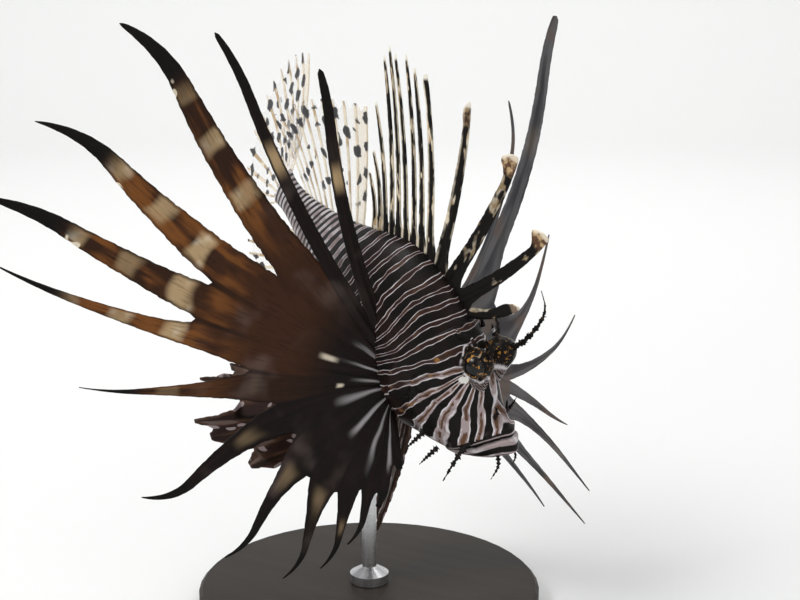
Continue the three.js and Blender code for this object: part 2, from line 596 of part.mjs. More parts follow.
function pectoral(name, side) {
  const { normal, rays, webs } = PECTORALS[name];
  const face = normal.clone().normalize();
  const upward = vector(0, 0, 1).addScaledVector(face, -face.z).normalize();
  const across = upward.clone().cross(face).multiplyScalar(side);
  const onSide = ({ x, y, z }) => vector(x, side * y, z);
  const made = rays.map(({ angle, length, bow, hook, ahead }, i) => {
    const turn = radians(angle);
    const direction = upward.clone().multiplyScalar(Math.cos(turn)).addScaledVector(across, Math.sin(turn));
    const tip = onSide(PECTORAL_CENTRE).addScaledVector(direction, length).addScaledVector(face, ahead);
    const foot = onSide(ROOT_TOP).lerp(onSide(ROOT_BOTTOM), i / (rays.length - 1));
    const root = foot.clone().add(vector(0, -side * 4, 0)).addScaledVector(tip.clone().sub(foot).normalize(), -1);
    return { root, tip, normal: face, bow, hook };
  });
  // A web ends at the last step before its notch on both of its rays
  const webSteps = webs.map((reach, i) => {
    const longer = Math.max(rays[i].length, rays[i + 1].length);
    return Math.max(1, Math.floor((reach / longer) * PECTORAL_STEPS));
  });
  return largest(fanFin({
    rays: made,
    webs: webSteps,
    steps: PECTORAL_STEPS,
    ridge: (t) => mix(1.3, 0.35, Math.min(1, t * 1.25) ** 0.6),
    width: (t, i) => rays[i].blade * Math.max(1 - t, 0) ** rays[i].taper * smoothstep(t, -0.1, 0.25) + 0.3,
  }).subtract(sleeve));
}
const pectorals = { right: pectoral("right", -1), left: pectoral("left", 1) };

// Pelvic fins: one spine and five rays, fanned below and behind the belly
const PELVIC_ROOT = { front: -47, rear: -56, y: 5.5, z: -28.5 };
const PELVIC_TIPS = {
  right: [[-70, -19, -82], [-80, -31, -83], [-92, -50, -67], [-99, -56, -60], [-113, -41, -57],
    [-113, -24, -56]],
  left: [[-32, 8, -104], [-37, 13, -104], [-43, 20, -99], [-47, 23, -92], [-51, 27, -84], [-52, 27, -76]],
};
const pelvic = (name, side) => {
  const rays = PELVIC_TIPS[name].map((place, i) => {
    const part = i / 5;
    const tip = vector(...place);
    const root = vector(mix(PELVIC_ROOT.front, PELVIC_ROOT.rear, part), side * PELVIC_ROOT.y, PELVIC_ROOT.z);
    return { root, tip, normal: vector(0.2, side, 0.25 * side), bow: 1.5 * (part - 0.5), lift: 2 };
  });
  return largest(fanFin({
    rays,
    webs: [6, 6, 6, 6, 6],
    steps: 9,
    ridge: (t) => mix(1.2, 0.35, Math.min(1, t * 1.2)),
    width: (t) => mix(1.6, 0.5, t),
  }).subtract(sleeve));
};
const pelvics = { right: pelvic("right", -1), left: pelvic("left", 1) };

// Colours of the parts
const SKIN = { color: 0x4a2c28, roughness: 0.5, metalness: 0 };
const FIN = { color: 0x6b4030, roughness: 0.55, metalness: 0 };
const CLEAR_FIN = { color: 0xb9aca0, roughness: 0.45, metalness: 0 };
const STEEL = { color: 0x9a9c9e, roughness: 0.35, metalness: 1 };
const BASE = { color: 0x2c2a28, roughness: 0.4, metalness: 0 };
const CORNEA = { color: 0x120c08, roughness: 0.08, metalness: 0 };

const fish = new THREE.Group();
fish.rotation.set(ROLL, PITCH, 0, "YXZ");

function node(group, name, body, look) {
  const mesh = new THREE.Mesh(geometryOf(body), new THREE.MeshStandardMaterial(look));
  mesh.name = name;
  group.add(mesh);
  return mesh;
}

node(fish, "head", head, SKIN);
node(fish, "lower_jaw", jaw, SKIN);
node(fish, "trunk", moved(trunk, bendAtOwnPlace), SKIN);
node(fish, "tail_stalk", moved(stalk, bendAtOwnPlace), SKIN);
node(fish, "spiny_dorsal_fin", spinyDorsal, FIN);
node(fish, "soft_dorsal_fin", softDorsal, CLEAR_FIN);
node(fish, "anal_fin", analFin, CLEAR_FIN);
node(fish, "tail_fin", tailFin, CLEAR_FIN);
for (const [name, side] of sides) {
  node(fish, `eye_${name}`, eyeBall(side, EYE.radius), CORNEA);
  node(fish, `brow_tentacle_${name}`, browTentacles[name], SKIN);
  node(fish, `pectoral_fin_${name}`, pectorals[name], FIN);
  node(fish, `pelvic_fin_${name}`, pelvics[name], FIN);
}

// Stand: a round base and one rod up to the belly, which ends a gap below the skin
fish.position.set(FISH_ORIGIN.x, FISH_ORIGIN.y, FISH_ORIGIN.z);
fish.updateMatrixWorld(true);

const baseProfile = [[0, 0], [BASE_RADIUS, 0], [BASE_RADIUS, BASE_HEIGHT - 1.5],
  [BASE_RADIUS - 1.5, BASE_HEIGHT], [0, BASE_HEIGHT]].map(([r, z]) => new THREE.Vector2(r, z));
const baseGeometry = new THREE.LatheGeometry(baseProfile, 48);
baseGeometry.rotateX(Math.PI / 2);

// The rod is made longer than it needs to be, into the body, and the sleeve cuts it off below the skin
const ROD_OVERSHOOT = 20;
const ROD_TOP = FISH_ORIGIN.z + ROD_OVERSHOOT;
const rodProfile = [[0, BASE_HEIGHT + GAP], [ROD_FOOT_RADIUS, BASE_HEIGHT + GAP], [ROD_FOOT_RADIUS, BASE_HEIGHT + 4],
  [ROD_RADIUS, BASE_HEIGHT + 7], [ROD_RADIUS, ROD_TOP], [0, ROD_TOP]].map(([r, z]) => new THREE.Vector2(r, z));
const rodGeometry = new THREE.LatheGeometry(rodProfile, 24);
rodGeometry.rotateX(Math.PI / 2);
const sleeveInRow = moved(sleeve, (point) => point.applyMatrix4(fish.matrixWorld));
const rod = largest(solid(rodGeometry).subtract(sleeveInRow));

const part = new THREE.Group();
part.add(fish);
node(part, "stand_base", solid(baseGeometry), BASE);
node(part, "stand_rod", rod, STEEL);

export default part;
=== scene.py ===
# Red lionfish on a plain display stand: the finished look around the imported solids.
# Shapes are worked out in the fish's own frame, in millimetres: the tip of the snout is the
# origin, +X is ahead, +Y is to the fish's left and +Z is up. place() takes them to the row.
import math

import bpy
import numpy as np
from mathutils import Matrix, Vector


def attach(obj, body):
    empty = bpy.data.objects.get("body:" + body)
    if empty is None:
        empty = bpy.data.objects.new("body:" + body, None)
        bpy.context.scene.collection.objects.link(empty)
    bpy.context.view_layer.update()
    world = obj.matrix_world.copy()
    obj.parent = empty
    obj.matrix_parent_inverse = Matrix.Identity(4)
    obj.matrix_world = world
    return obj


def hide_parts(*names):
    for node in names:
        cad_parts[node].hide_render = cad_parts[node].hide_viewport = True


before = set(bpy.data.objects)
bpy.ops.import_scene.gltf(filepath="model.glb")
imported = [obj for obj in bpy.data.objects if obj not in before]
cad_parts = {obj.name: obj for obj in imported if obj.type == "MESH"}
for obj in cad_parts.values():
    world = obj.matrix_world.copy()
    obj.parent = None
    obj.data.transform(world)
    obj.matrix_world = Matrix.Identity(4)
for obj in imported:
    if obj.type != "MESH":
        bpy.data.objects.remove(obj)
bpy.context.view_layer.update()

# Driving sizes of the fish, as in the solids
STANDARD_LENGTH = 150.0
PITCH = math.radians(34)
ROLL = math.radians(9)
TAIL_BEND = math.radians(20)
BEND_START = -0.38 * STANDARD_LENGTH
TAIL_FIN_SWING = math.radians(16)
FISH_ORIGIN = np.array([71.8, -5, 84.3])      # the snout's tip, from the centre of the base
EYE = {"x": -26.4, "y": 10.2, "z": 18.4, "radius": 4.7}
SOCKET = {"y": 7.4, "radius": 6.0}
EYE_FLATNESS = 0.82

# The view: the photograph's direction, and where its centre lies from the snout
VIEW_AZIMUTH = math.radians(32.5)
VIEW_ELEVATION = math.radians(12)
VIEW_DISTANCE = 563.5
SNOUT_RIGHT_OF_CENTRE = 45.2
SNOUT_BELOW_CENTRE = 51.5
LENS = 67.5
SENSOR_WIDTH = 36

# Lights, in metres: where each one is, where it looks, its side and its power in watts
LIGHTS = {
    "key_light": ((-0.5, -0.9, 1.3), (0, 0, 0.15), 0.7, 17),
    "fill_light": ((1.2, -0.5, 0.8), (0, 0, 0.12), 1.2, 4),
    "wall_light": ((-0.6, 1.0, 1.9), (-1.4, 2.2, 0.3), 1.4, 24),
    "top_light": ((0.1, 0.6, 1.5), (0, 0, 0.15), 1.2, 7),
}
SKY = {"colour": (0.85, 0.87, 0.9), "strength": 0.30}

# The floor, in metres: flat out to a radius, bent up through a quarter circle, then a wall
FLOOR = {"inner": 1.0, "flat": 1.8, "bend": 0.7, "wall_top": 1.6, "bend_steps": 12, "around": 72}

# Outline of the body along its length: distance from the snout, then the value there
BACK_LINE = [
    (-1.7, -6.2), (-0.8, -4.6), (1, -3.2), (3, -1.8), (5.5, -0.7), (9, 1.1), (15, 4.9), (19, 9.2),
    (23.5, 14), (29, 18.4), (35.4, 23), (43, 26.8), (50, 29.8), (57, 32), (65, 33.6), (73, 34),
    (80, 32.6), (88, 29), (97, 23.8), (110, 17.4), (123, 12.4), (134, 9.2), (143, 8), (150, 9.2),
]
BELLY_LINE = [
    (-1.7, -6.8), (-0.8, -8.4), (1.5, -11.4), (4, -14.8), (7.5, -18), (12, -21.4), (17, -24.2),
    (26, -27.6), (38, -30.4), (50, -31.4), (64, -31), (78, -28), (92, -22.6), (106, -16.6),
    (120, -11.4), (132, -8.6), (142, -7.8), (150, -9.2),
]
HALF_WIDTH = [
    (-1.7, 0.8), (-0.8, 2.8), (1, 4.8), (4, 7), (9, 9.6), (16, 12), (24, 13.8), (34, 15.4), (46, 17),
    (58, 17), (72, 14.8), (88, 11.6), (104, 8.6), (120, 5.8), (134, 3.8), (143, 2.8), (150, 2),
]

# Lines on the side of the head, as (x, z)
MOUTH_LINE = [(6, 0.6), (-1.6, -1.6), (-4.6, -3.2), (-7.6, -6.8), (-10.6, -11.2), (-17.6, -20.4)]
GILL_COVER_EDGE = [(-39, 48), (-41, 25), (-46.5, 14), (-52, 3), (-52.4, -6), (-48.6, -15),
                   (-43.4, -23), (-38, -34), (-36, -48)]
CHEEK_RIDGE = [(-21, 1), (-29, -1.5), (-38, -2)]
PREOPERCLE_EDGE = [(-38.5, 8), (-41, 0), (-39.5, -9), (-34, -17), (-27, -21)]
MAXILLA = [(-6.5, -1.5), (-11.5, -7.5), (-17, -15)]
NOSTRIL = (-11.5, 2.4)


def smooth_line(pairs):
    """A smooth curve through a few (place, value) pairs."""
    places, values = np.array(pairs, float).T
    before = np.concatenate([[0], np.arange(len(pairs) - 1)])
    after = np.concatenate([np.arange(1, len(pairs)), [len(pairs) - 1]])
    slopes = (values[after] - values[before]) / (places[after] - places[before])

    def curve(place):
        place = np.clip(np.asarray(place, float), places[0], places[-1])
        i = np.clip(np.searchsorted(places, place, side="right") - 1, 0, len(places) - 2)
        span = places[i + 1] - places[i]
        t = (place - places[i]) / span
        a = 2 * t**3 - 3 * t**2 + 1
        return (a * values[i] + (t**3 - 2 * t**2 + t) * span * slopes[i]
                + (1 - a) * values[i + 1] + (t**3 - t**2) * span * slopes[i + 1])

    return curve


back_line = smooth_line(BACK_LINE)
belly_line = smooth_line(BELLY_LINE)
half_width = smooth_line(HALF_WIDTH)


def bell(distance, width):
    return np.exp(-((distance / width) ** 2))


def smoothstep(value, low, high):
    t = np.clip((value - low) / (high - low), 0, 1)
    return t * t * (3 - 2 * t)


def mix(a, b, t):
    return a + (b - a) * t


def distance_to_line(x, z, line, signed=False):
    """Distance to a bent line. The signed kind is positive to the left of the line's run."""
    best = np.full(np.shape(x), np.inf)
    sign = np.ones(np.shape(x))
    for (ax, az), (bx, bz) in zip(line, line[1:]):
        dx, dz = bx - ax, bz - az
        t = np.clip(((x - ax) * dx + (z - az) * dz) / (dx * dx + dz * dz), 0, 1)
        distance = np.hypot(x - mix(ax, bx, t), z - mix(az, bz, t))
        nearer = distance < best
        best = np.where(nearer, distance, best)
        sign = np.where(nearer, np.sign(dx * (z - az) - dz * (x - ax)), sign)
    return best * sign if signed else best


def relief(x, y, z, top):
    """How far the head's bones and folds stand out of the plain body."""
    from_eye = np.hypot(x - EYE["x"], z - EYE["z"])
    side = smoothstep(np.abs(y), 3, 7)
    snout_side = smoothstep(np.abs(y), 2, 4)
    ahead_of_gill = distance_to_line(x, z, GILL_COVER_EDGE, signed=True)
    mouth = distance_to_line(x, z, MOUTH_LINE)
    ridge_noise = 0.25 * np.sin(1.7 * x + 0.6 * z) * side
    # The rim of the orbits and the hollow between them
    out = 0.8 * bell(from_eye - SOCKET["radius"], 2.4) * side
    out -= 1.0 * top * bell(np.abs(y), 4.5) * bell(x - EYE["x"] + 2, 10)
    # The cheek's ridges, the gill cover's raised edge and the upper jaw's bone
    out += (0.9 + ridge_noise) * bell(distance_to_line(x, z, CHEEK_RIDGE), 1.5) * side
    out += (0.8 + ridge_noise) * bell(distance_to_line(x, z, PREOPERCLE_EDGE), 1.6) * side
    out += 1.0 * np.exp(-np.maximum(ahead_of_gill, 0) / 5) * smoothstep(ahead_of_gill, -0.5, 0.3) * side
    out += 0.9 * bell(distance_to_line(x, z, MAXILLA), 1.9) * side
    # The lips with the mouth's slit between them, then the nostril's rim and hole
    out += 0.8 * bell(mouth - 1.7, 1.3)
    out -= 1.3 * bell(mouth, 0.5) * smoothstep(x, -19, -15)
    out += 0.7 * bell(np.hypot(x - NOSTRIL[0], z - NOSTRIL[1]), 1.5) * snout_side
    out -= 1.2 * bell(np.hypot(x - NOSTRIL[0] - 0.3, z - NOSTRIL[1] - 0.2), 0.6) * snout_side
    return out


def socket_reach(x, side_cos, side_sin, middle):
    """How far from the section's middle the raised orbit reaches, along each direction."""
    radius = SOCKET["radius"]
    cut = np.clip(1 - ((x - EYE["x"]) / radius) ** 2, 0, 1)
    round_half = radius * np.sqrt(cut)
    half_high = np.maximum(round_half, 1e-6)
    half_wide = np.maximum(round_half * EYE_FLATNESS, 1e-6)
    dy, dz = np.abs(side_sin), side_cos
    a = (dy / half_wide) ** 2 + (dz / half_high) ** 2
    py, pz = -SOCKET["y"], middle - EYE["z"]
    b = dy * py / half_wide**2 + dz * pz / half_high**2
    c = (py / half_wide) ** 2 + (pz / half_high) ** 2 - 1
    disc = b * b - a * c
    return np.where(disc > 0, (-b + np.sqrt(np.maximum(disc, 0))) / a, 0)


def skin_points(station, angle):
    """Points of the body's skin, straight, from station and angle grids."""
    top, bottom = back_line(station), belly_line(station)
    middle = mix(bottom, top, 0.46)
    cosine, sine = np.cos(angle), np.sin(angle)
    rise = np.where(cosine > 0, top - middle, middle - bottom) * cosine
    roof = np.where(cosine > 0, 1 - 0.16 * cosine**2, 1 - 0.1 * cosine**4)
    width = half_width(station) * sine * roof
    x, y, z = -station, width, middle + rise
    out_y, out_z = sine * (top - bottom) / 2, cosine * half_width(station)
    size = np.hypot(out_y, out_z) + 1e-9
    height = relief(x, y, z, np.where(cosine > 0, cosine, 0)) * smoothstep(station, -2.5, 4)
    y, z = y + height * out_y / size, z + height * out_z / size
    reach = np.hypot(y, z - middle) + 1e-9
    orbit = socket_reach(x, (z - middle) / reach, y / reach, middle)
    soft = 0.9
    fillet = soft * np.exp(-np.abs(reach - orbit) / soft) * 0.4 * (orbit > 0)
    grown = np.maximum(reach, orbit) + fillet
    y, z = y * grown / reach, middle + (z - middle) * grown / reach
    # The skin dips under the eyeball inside the lids' ring, and stands up in a lid round it
    opening = EYE["radius"] * 0.9
    from_eye = np.hypot(x - EYE["x"], z - EYE["z"])
    dip = 3.4 * smoothstep(opening - from_eye, -0.1, 0.9) - 0.45 * bell(from_eye - opening - 0.6, 0.6)
    y = y - np.sign(y) * dip * smoothstep(np.abs(y), 6, 8)
    return np.stack([x, y, z], axis=-1)


def bend_with(points, place):
    """Turns points with the place on the back that they belong to: the tail swings to the left."""
    points = np.asarray(points, float)
    place = np.broadcast_to(np.asarray(place, float), points.shape[:-1])
    curvature = TAIL_BEND / (STANDARD_LENGTH + BEND_START)
    turn = curvature * np.maximum(BEND_START - place, 0)
    start_x = np.where(place < BEND_START, BEND_START - np.sin(turn) / curvature, place)
    start_y = (1 - np.cos(turn)) / curvature
    local = points[..., 0] - place
    x = start_x + local * np.cos(turn) + points[..., 1] * np.sin(turn)
    y = start_y - local * np.sin(turn) + points[..., 1] * np.cos(turn)
    return np.stack([x, y, points[..., 2]], axis=-1)


def turn_matrix():
    """The fish's pose: nose pitched down, then banked."""
    pitch = np.array([[math.cos(PITCH), 0, math.sin(PITCH)], [0, 1, 0],
                      [-math.sin(PITCH), 0, math.cos(PITCH)]])
    roll = np.array([[1, 0, 0], [0, math.cos(ROLL), -math.sin(ROLL)],
                     [0, math.sin(ROLL), math.cos(ROLL)]])
    return pitch @ roll


POSE = turn_matrix()


def place(points):
    """Fish frame in millimetres to the row's frame in metres."""
    return (np.asarray(points, float) @ POSE.T + FISH_ORIGIN) / 1000


# Pattern of the skin: bands run from the flank up to the back, and fan out below the eye.
# The count of bands is given by distance from the snout, and in the fan by angle in degrees.
BAND_FAN = {"x": -26.5, "z": 16}
band_count = smooth_line([(12, -4.6), (22, -3.2), (27, -2.5), (32.9, -1.5), (38.2, -0.5), (43.5, 0.5),
                          (49, 1.5), (59.6, 3.5), (71.5, 5.5), (98, 10.5), (110, 13.5), (150, 28)])
band_slant = smooth_line([(20, 2.2), (30, 2.3), (38, 2.9), (49, 2.2), (60, 1.4), (80, 1.0), (110, 0.5),
                          (150, 0.3)])
fan_count = smooth_line([(-180, -1.6), (-150, -2.2), (-121, -3), (-108, -4), (-94, -5), (-73, -6),
                         (-58, -7), (-47, -8), (-38, -9), (-29, -10), (-19, -11), (-8, -12), (10, -13),
                         (60, -15)])


def band_phase(x, z):
    """Counts the dark bands along the fish: whole numbers are the middles of dark bands."""
    on_back = x.copy()
    for _ in range(24):
        below = np.maximum(back_line(-on_back) - z, 0)
        on_back = mix(on_back, x + band_slant(-on_back) * (np.sqrt(below + 0.5) - 0.7), 0.5)
    trunk = band_count(-on_back)
    angle = np.degrees(np.arctan2(z - BAND_FAN["z"], x - BAND_FAN["x"]))
    angle = np.where(angle > 90, angle - 360, angle)
    return mix(trunk, fan_count(angle), smoothstep(angle, -160, -122))


def skin_fields(straight):
    """Shading fields of the skin, from points of the straight fish."""
    x, y, z = straight.T
    below_mouth = distance_to_line(x, z, MOUTH_LINE, signed=True)
    in_jaw = smoothstep(x, -20, -17) * smoothstep(z, 6, 2)
    from_eye = np.sqrt((x - EYE["x"]) ** 2 + (np.abs(y) - EYE["y"]) ** 2 + (z - EYE["z"]) ** 2)
    ahead_of_gill = distance_to_line(x, z, GILL_COVER_EDGE, signed=True)
    on_head = smoothstep(ahead_of_gill, 6, 16) * smoothstep(z, 17, 9)
    between_eyes = bell(np.hypot(x - BAND_FAN["x"], z - BAND_FAN["z"]), 5) * smoothstep(np.abs(y), 7, 4)
    below_eye = bell(np.hypot((x + 27.6) / 1.2, z - 9.6), 1.9) * smoothstep(np.abs(y), 5, 7)
    # The dark of the lids reaches further on the side towards the other eye
    from_eye = from_eye - 2.6 * smoothstep(np.abs(y), 9, 6.5)
    return {"straight_mm": straight,
            "patches": np.stack([between_eyes, below_eye, ahead_of_gill], axis=-1),
            "pattern": np.stack([band_phase(x, z), on_head, smoothstep(-x, 84, 112)], axis=-1),
            "marks": np.stack([below_mouth, in_jaw, from_eye], axis=-1)}


# Meshes
def make_mesh(name, points, faces, material, slot, nodes=(), **fields):
    """A piece from points in the fish's frame, riding on the body, with its shading fields."""
    mesh = bpy.data.meshes.new(name)
    mesh.from_pydata(place(points).tolist(), [], faces)
    mesh.update()
    mesh.materials.append(material)
    mesh.polygons.foreach_set("use_smooth", [True] * len(mesh.polygons))
    piece = bpy.data.objects.new(name, mesh)
    bpy.context.collection.objects.link(piece)
    if nodes:
        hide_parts(*nodes)
    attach(piece, "root")
    for field, values in {"rest_mm": points, **fields}.items():
        attribute = mesh.attributes.new(field, "FLOAT_VECTOR", "POINT")
        attribute.data.foreach_set("vector", np.asarray(values, np.float32).ravel())


def skin_over(node, built, material, slot):
    """A piece in place of one node of the solids, from points, faces and fin fields."""
    points, faces, fields = built
    make_mesh(f"{node}_skin", points, faces, material, slot, (node,), fin=fields)


def grid_faces(rows, columns):
    """Quads of a grid whose columns close on themselves."""
    faces = []
    for i in range(rows - 1):
        for j in range(columns):
            k = (j + 1) % columns
            faces.append((i * columns + j, i * columns + k, (i + 1) * columns + k, (i + 1) * columns + j))
    return faces


def tube_faces(rows, columns):
    """Faces of a tube with closed ends. Its two end points come after the rows."""
    faces = grid_faces(rows, columns)
    start, end = rows * columns, rows * columns + 1
    last_row = (rows - 1) * columns
    for j in range(columns):
        k = (j + 1) % columns
        faces.append((start, k, j))
        faces.append((end, last_row + j, last_row + k))
    return faces


def body_skin(material):
    stations = [-1.65, -1.5, -1.2, -0.8, *np.arange(-0.4, 60, 0.42), *np.arange(60, 149.4, 0.8), 149.5]
    around = 260
    nose, rear = (1.75, 0, -6.5), (-STANDARD_LENGTH, 0, 0)
    angle = np.linspace(0, 2 * np.pi, around, endpoint=False)
    station, turn = np.meshgrid(stations, angle, indexing="ij")
    straight = np.vstack([skin_points(station, turn).reshape(-1, 3), nose, rear])
    make_mesh("body_skin", bend_with(straight, straight[:, 0]), tube_faces(len(stations), around),
              material, "skin", ("head", "lower_jaw", "trunk", "tail_stalk"), **skin_fields(straight))


def unit(v):
    v = np.asarray(v, float)
    return v / (np.linalg.norm(v, axis=-1, keepdims=True) + 1e-12)


# Fins: a fan of rays with a thin web between them
HOOK_START = 0.82           # part of a ray's length from which it hooks
NOTCH_SHARE = 0.42          # how far a ray's margin may reach towards the next ray beside a notch
LEAST_REACH = 0.12          # half the breadth of the finest tips
RAG_WAVES = [(0.5, 0.9), (0.35, 2.1), (0.25, 4.3)]      # height and pace of the margin's waves


def ray_stations(ray, turned, spacing):
    """Stations along one ray: part and distance of the length, centre, and the blade's directions."""
    chord = ray["tip"] - ray["root"]
    length = np.linalg.norm(chord)
    heading = chord / length
    face = unit(ray["normal"] - heading * (ray["normal"] @ heading)) * turned
    across = np.cross(face, heading)
    count = max(3, round(length / spacing))
    t = np.minimum(np.arange(count + 1) * spacing / length, 1)
    t[-1] = 1

    def at(part):
        part = part[:, None]
        arch = 4 * part * (1 - part)
        hooked = np.maximum(0, (part - HOOK_START) / (1 - HOOK_START)) ** 2
        sideways = ray.get("bow", 0) * arch + ray.get("hook", 0) * hooked
        return ray["root"] + chord * part + across * sideways + face * (turned * ray.get("lift", 0) * arch)

    tangent = unit(at(t + 0.005) - at(t - 0.005))
    normal = unit(face - tangent * (tangent @ face)[:, None])
    return {"t": t, "far": t * length, "centre": at(t), "normal": normal, "across": np.cross(normal, tangent)}


class Fin:
    """A closed fin as it is built. Its points come in pairs, one on each face."""

    def __init__(self, rays, webs, spacing, edge):
        first = rays[0]["tip"] - rays[0]["root"]
        to_next = rays[1]["tip"] - rays[0]["tip"]
        turned = -1 if np.cross(rays[0]["normal"], first) @ to_next < 0 else 1
        self.fan = [ray_stations(ray, turned, spacing) for ray in rays]
        self.ends = [min(round(web / spacing), len(ray["t"]) - 2, len(after["t"]) - 2)
                     for web, ray, after in zip(webs, self.fan, self.fan[1:])]
        self.spacing, self.edge = spacing, edge
        self.points, self.fields, self.faces = [], [], []
        self.margins = [{-1: {}, 1: {}} for _ in self.fan]

    def add(self, centre, normal, half, field):
        self.points += [centre + normal * half, centre - normal * half]
        self.fields += [field, field]
        return len(self.points) - 2

    def web_end(self, i, side):
        """The last station of the web beside ray i, or -1 where there is none."""
        j = min(i, i + side)
        return self.ends[j] if 0 <= j < len(self.ends) else -1

    def join_webs(self):
        """Margins that two neighbouring rays share, half-way between them."""
        for i, end in enumerate(self.ends):
            ray, after = self.fan[i], self.fan[i + 1]
            for k in range(end + 1):
                middle = (ray["centre"][k] + after["centre"][k]) / 2
                field = (i + 0.5, ray["far"][k], (ray["t"][k] + after["t"][k]) / 2)
                shared = self.add(middle, unit(ray["normal"][k] + after["normal"][k]), self.edge, field)
                self.margins[i][1][k] = self.margins[i + 1][-1][k] = (shared, middle)

    def free_margin(self, i, side, width, narrowing, ragged, random):
        """The margin of a ray past its web, which narrows from the notch."""
        ray, margin, end = self.fan[i], self.margins[i][side], self.web_end(i, side)
        phases = random.uniform(0, 6.28, 3)
        for k in range(len(ray["t"])):
            if k in margin:
                continue
            own = width(ray["t"][k], i, side)
            reach = own
            if end >= 0:
                other = self.fan[i + side]["centre"]
                gap = np.linalg.norm(ray["centre"][k] - other[min(k, len(other) - 1)])
                start = np.linalg.norm(ray["centre"][end] - other[end]) * 0.5
                spare = max(0.0, min(start, gap * NOTCH_SHARE) - own)
                reach = own + spare * math.exp(-(k - end) * self.spacing / narrowing)
            wave = sum(height * math.sin(ray["far"][k] * pace + phase)
                       for (height, pace), phase in zip(RAG_WAVES, phases))
            reach = max(LEAST_REACH, reach * (1 + ragged * wave * min(1, (k - end) / 3)))
            spot = ray["centre"][k] + side * reach * ray["across"][k]
            lane = i + 0.5 * side * min(1.0, reach / (own + 1e-6)) * 0.9
            half = self.edge * (1 - 0.3 * ray["t"][k])
            margin[k] = (self.add(spot, ray["normal"][k], half, (lane, ray["far"][k], ray["t"][k])), spot)

    def ray_rows(self, i, ridge, ridge_width, columns):
        """Rows of pairs from margin to margin over one ray, highest over its ridge."""
        rows = []
        for k, t in enumerate(self.fan[i]["t"]):
            centre, normal = self.fan[i]["centre"][k], self.fan[i]["normal"][k]
            far = self.fan[i]["far"][k]
            line = {}
            for side in (-1, 1):
                index, margin = self.margins[i][side][k]
                line[side] = [index]
                breadth = np.linalg.norm(margin - centre)
                for c in range(1, columns):
                    part = c / columns
                    rise = math.exp(-((breadth * (1 - part) / ridge_width) ** 2))
                    half = mix(self.edge, ridge(t, i), rise)
                    field = (i + 0.5 * side * (1 - part), far, t)
                    line[side].append(self.add(mix(margin, centre, part), normal, half, field))
            rows.append(line[-1] + [self.add(centre, normal, ridge(t, i), (i, far, t))] + line[1][::-1])
        return rows

    def close_ray(self, i, rows):
        """Faces of one ray on both sides, and round its free edges."""
        for k, (low, high) in enumerate(zip(rows, rows[1:])):
            for a, b, c, d in zip(low, low[1:], high, high[1:]):
                self.faces.append((b, d, c, a))
                self.faces.append((a + 1, c + 1, d + 1, b + 1))
            if k >= self.web_end(i, 1):
                self.faces.append((low[-1] + 1, high[-1] + 1, high[-1], low[-1]))
            if k >= self.web_end(i, -1):
                self.faces.append((low[0], high[0], high[0] + 1, low[0] + 1))
        for row, order in ((rows[0], -1), (rows[-1], 1)):
            loop = row + [p + 1 for p in row[::-1]]
            self.faces.append(tuple(loop[::order]))


def fan_fin(rays, webs, spacing, ridge, width, edge, columns, narrowing, ragged, ridge_width, seed):
    """Points, faces and shading fields of one closed fin.

    rays: each with root, tip, normal and its bow, hook and lift. webs: how far from the root
    each web reaches, in millimetres. ridge and width: half the ray's thickness and half its
    blade's breadth, as functions of the part of its length, the ray's number and the side."""
    fin = Fin(rays, webs, spacing, edge)
    random = np.random.default_rng(seed)
    fin.join_webs()
    for i in range(len(rays)):
        for side in (-1, 1):
            fin.free_margin(i, side, width, narrowing, ragged, random)
    for i in range(len(rays)):
        fin.close_ray(i, fin.ray_rows(i, ridge, ridge_width, columns))
    return np.array(fin.points), fin.faces, np.array(fin.fields)


def midline_ray(spot, foot_height, lean_back, length, bow, sideways=0.0):
    """A ray that stands on the bent back or belly, from 4 mm inside it."""
    direction = np.array([-math.sin(lean_back), 0, math.cos(lean_back) * np.sign(foot_height)])
    foot = np.array([spot, 0, foot_height])
    tip = foot + direction * length + [0, sideways, 0]
    normal = np.array([spot, np.sign(foot_height), 0])
    bent = bend_with(np.array([foot - direction * 4, tip, normal, [spot, 0, 0]]), spot)
    return {"root": bent[0], "tip": bent[1], "normal": bent[2] - bent[3], "bow": bow}


# Spiny dorsal fin: length and lean of each spine, where it stands, half its blade's breadth
SPINE_LENGTHS = [24, 48.5, 61.5, 66.5, 69.5, 69, 71, 70, 72, 67.5, 50, 31, 22]
SPINE_LEANS = [-45, -21, 0, 18, 31, 32, 34, 34.5, 34, 35, 35.5, 37, 38]
spine_place = smooth_line([(0, -43.5), (1, -48.5), (2, -55.5), (4, -68), (8, -84), (12, -96)])
SPINE_BLADES = [2.0, 2.9, 2.9, 2.4, 1.6, 1.2, 1.1, 1.1, 1.1, 1.1, 1.1, 1.1, 1.1]
SPINE_WEB = 7
# Knobs at the tips of the first spines: how far they stand out, their place along it and their spread
TIP_KNOBS = [(1.7, 0.8, 0.22), (4.6, 0.95, 0.06), (4, 0.95, 0.06), (1, 0.95, 0.06), (0.9, 0.95, 0.06)]


def spiny_dorsal(material):
    rays = []
    for i, (length, lean) in enumerate(zip(SPINE_LENGTHS, SPINE_LEANS)):
        spot = float(spine_place(i))
        rays.append(midline_ray(spot, float(back_line(-spot)), math.radians(lean), length,
                                -2.2, 1.2 * math.sin(2.3 * i)))

    def width(t, i, side):
        knob = 0
        if i < len(TIP_KNOBS) and side > 0:
            stand, middle, spread = TIP_KNOBS[i]
            knob = stand * bell(t - middle, spread)
        return (1.3 if side > 0 else 0.6) * SPINE_BLADES[i] * (1 - t) ** 0.3 + 0.2 + knob

    built = fan_fin(rays, [SPINE_WEB] * (len(rays) - 1), 0.9, lambda t, i: mix(0.95, 0.25, t), width,
                    edge=0.14, columns=4, narrowing=3.0, ragged=0.05, ridge_width=0.7, seed=4)
    skin_over("spiny_dorsal_fin", built, material, "banded_fin")


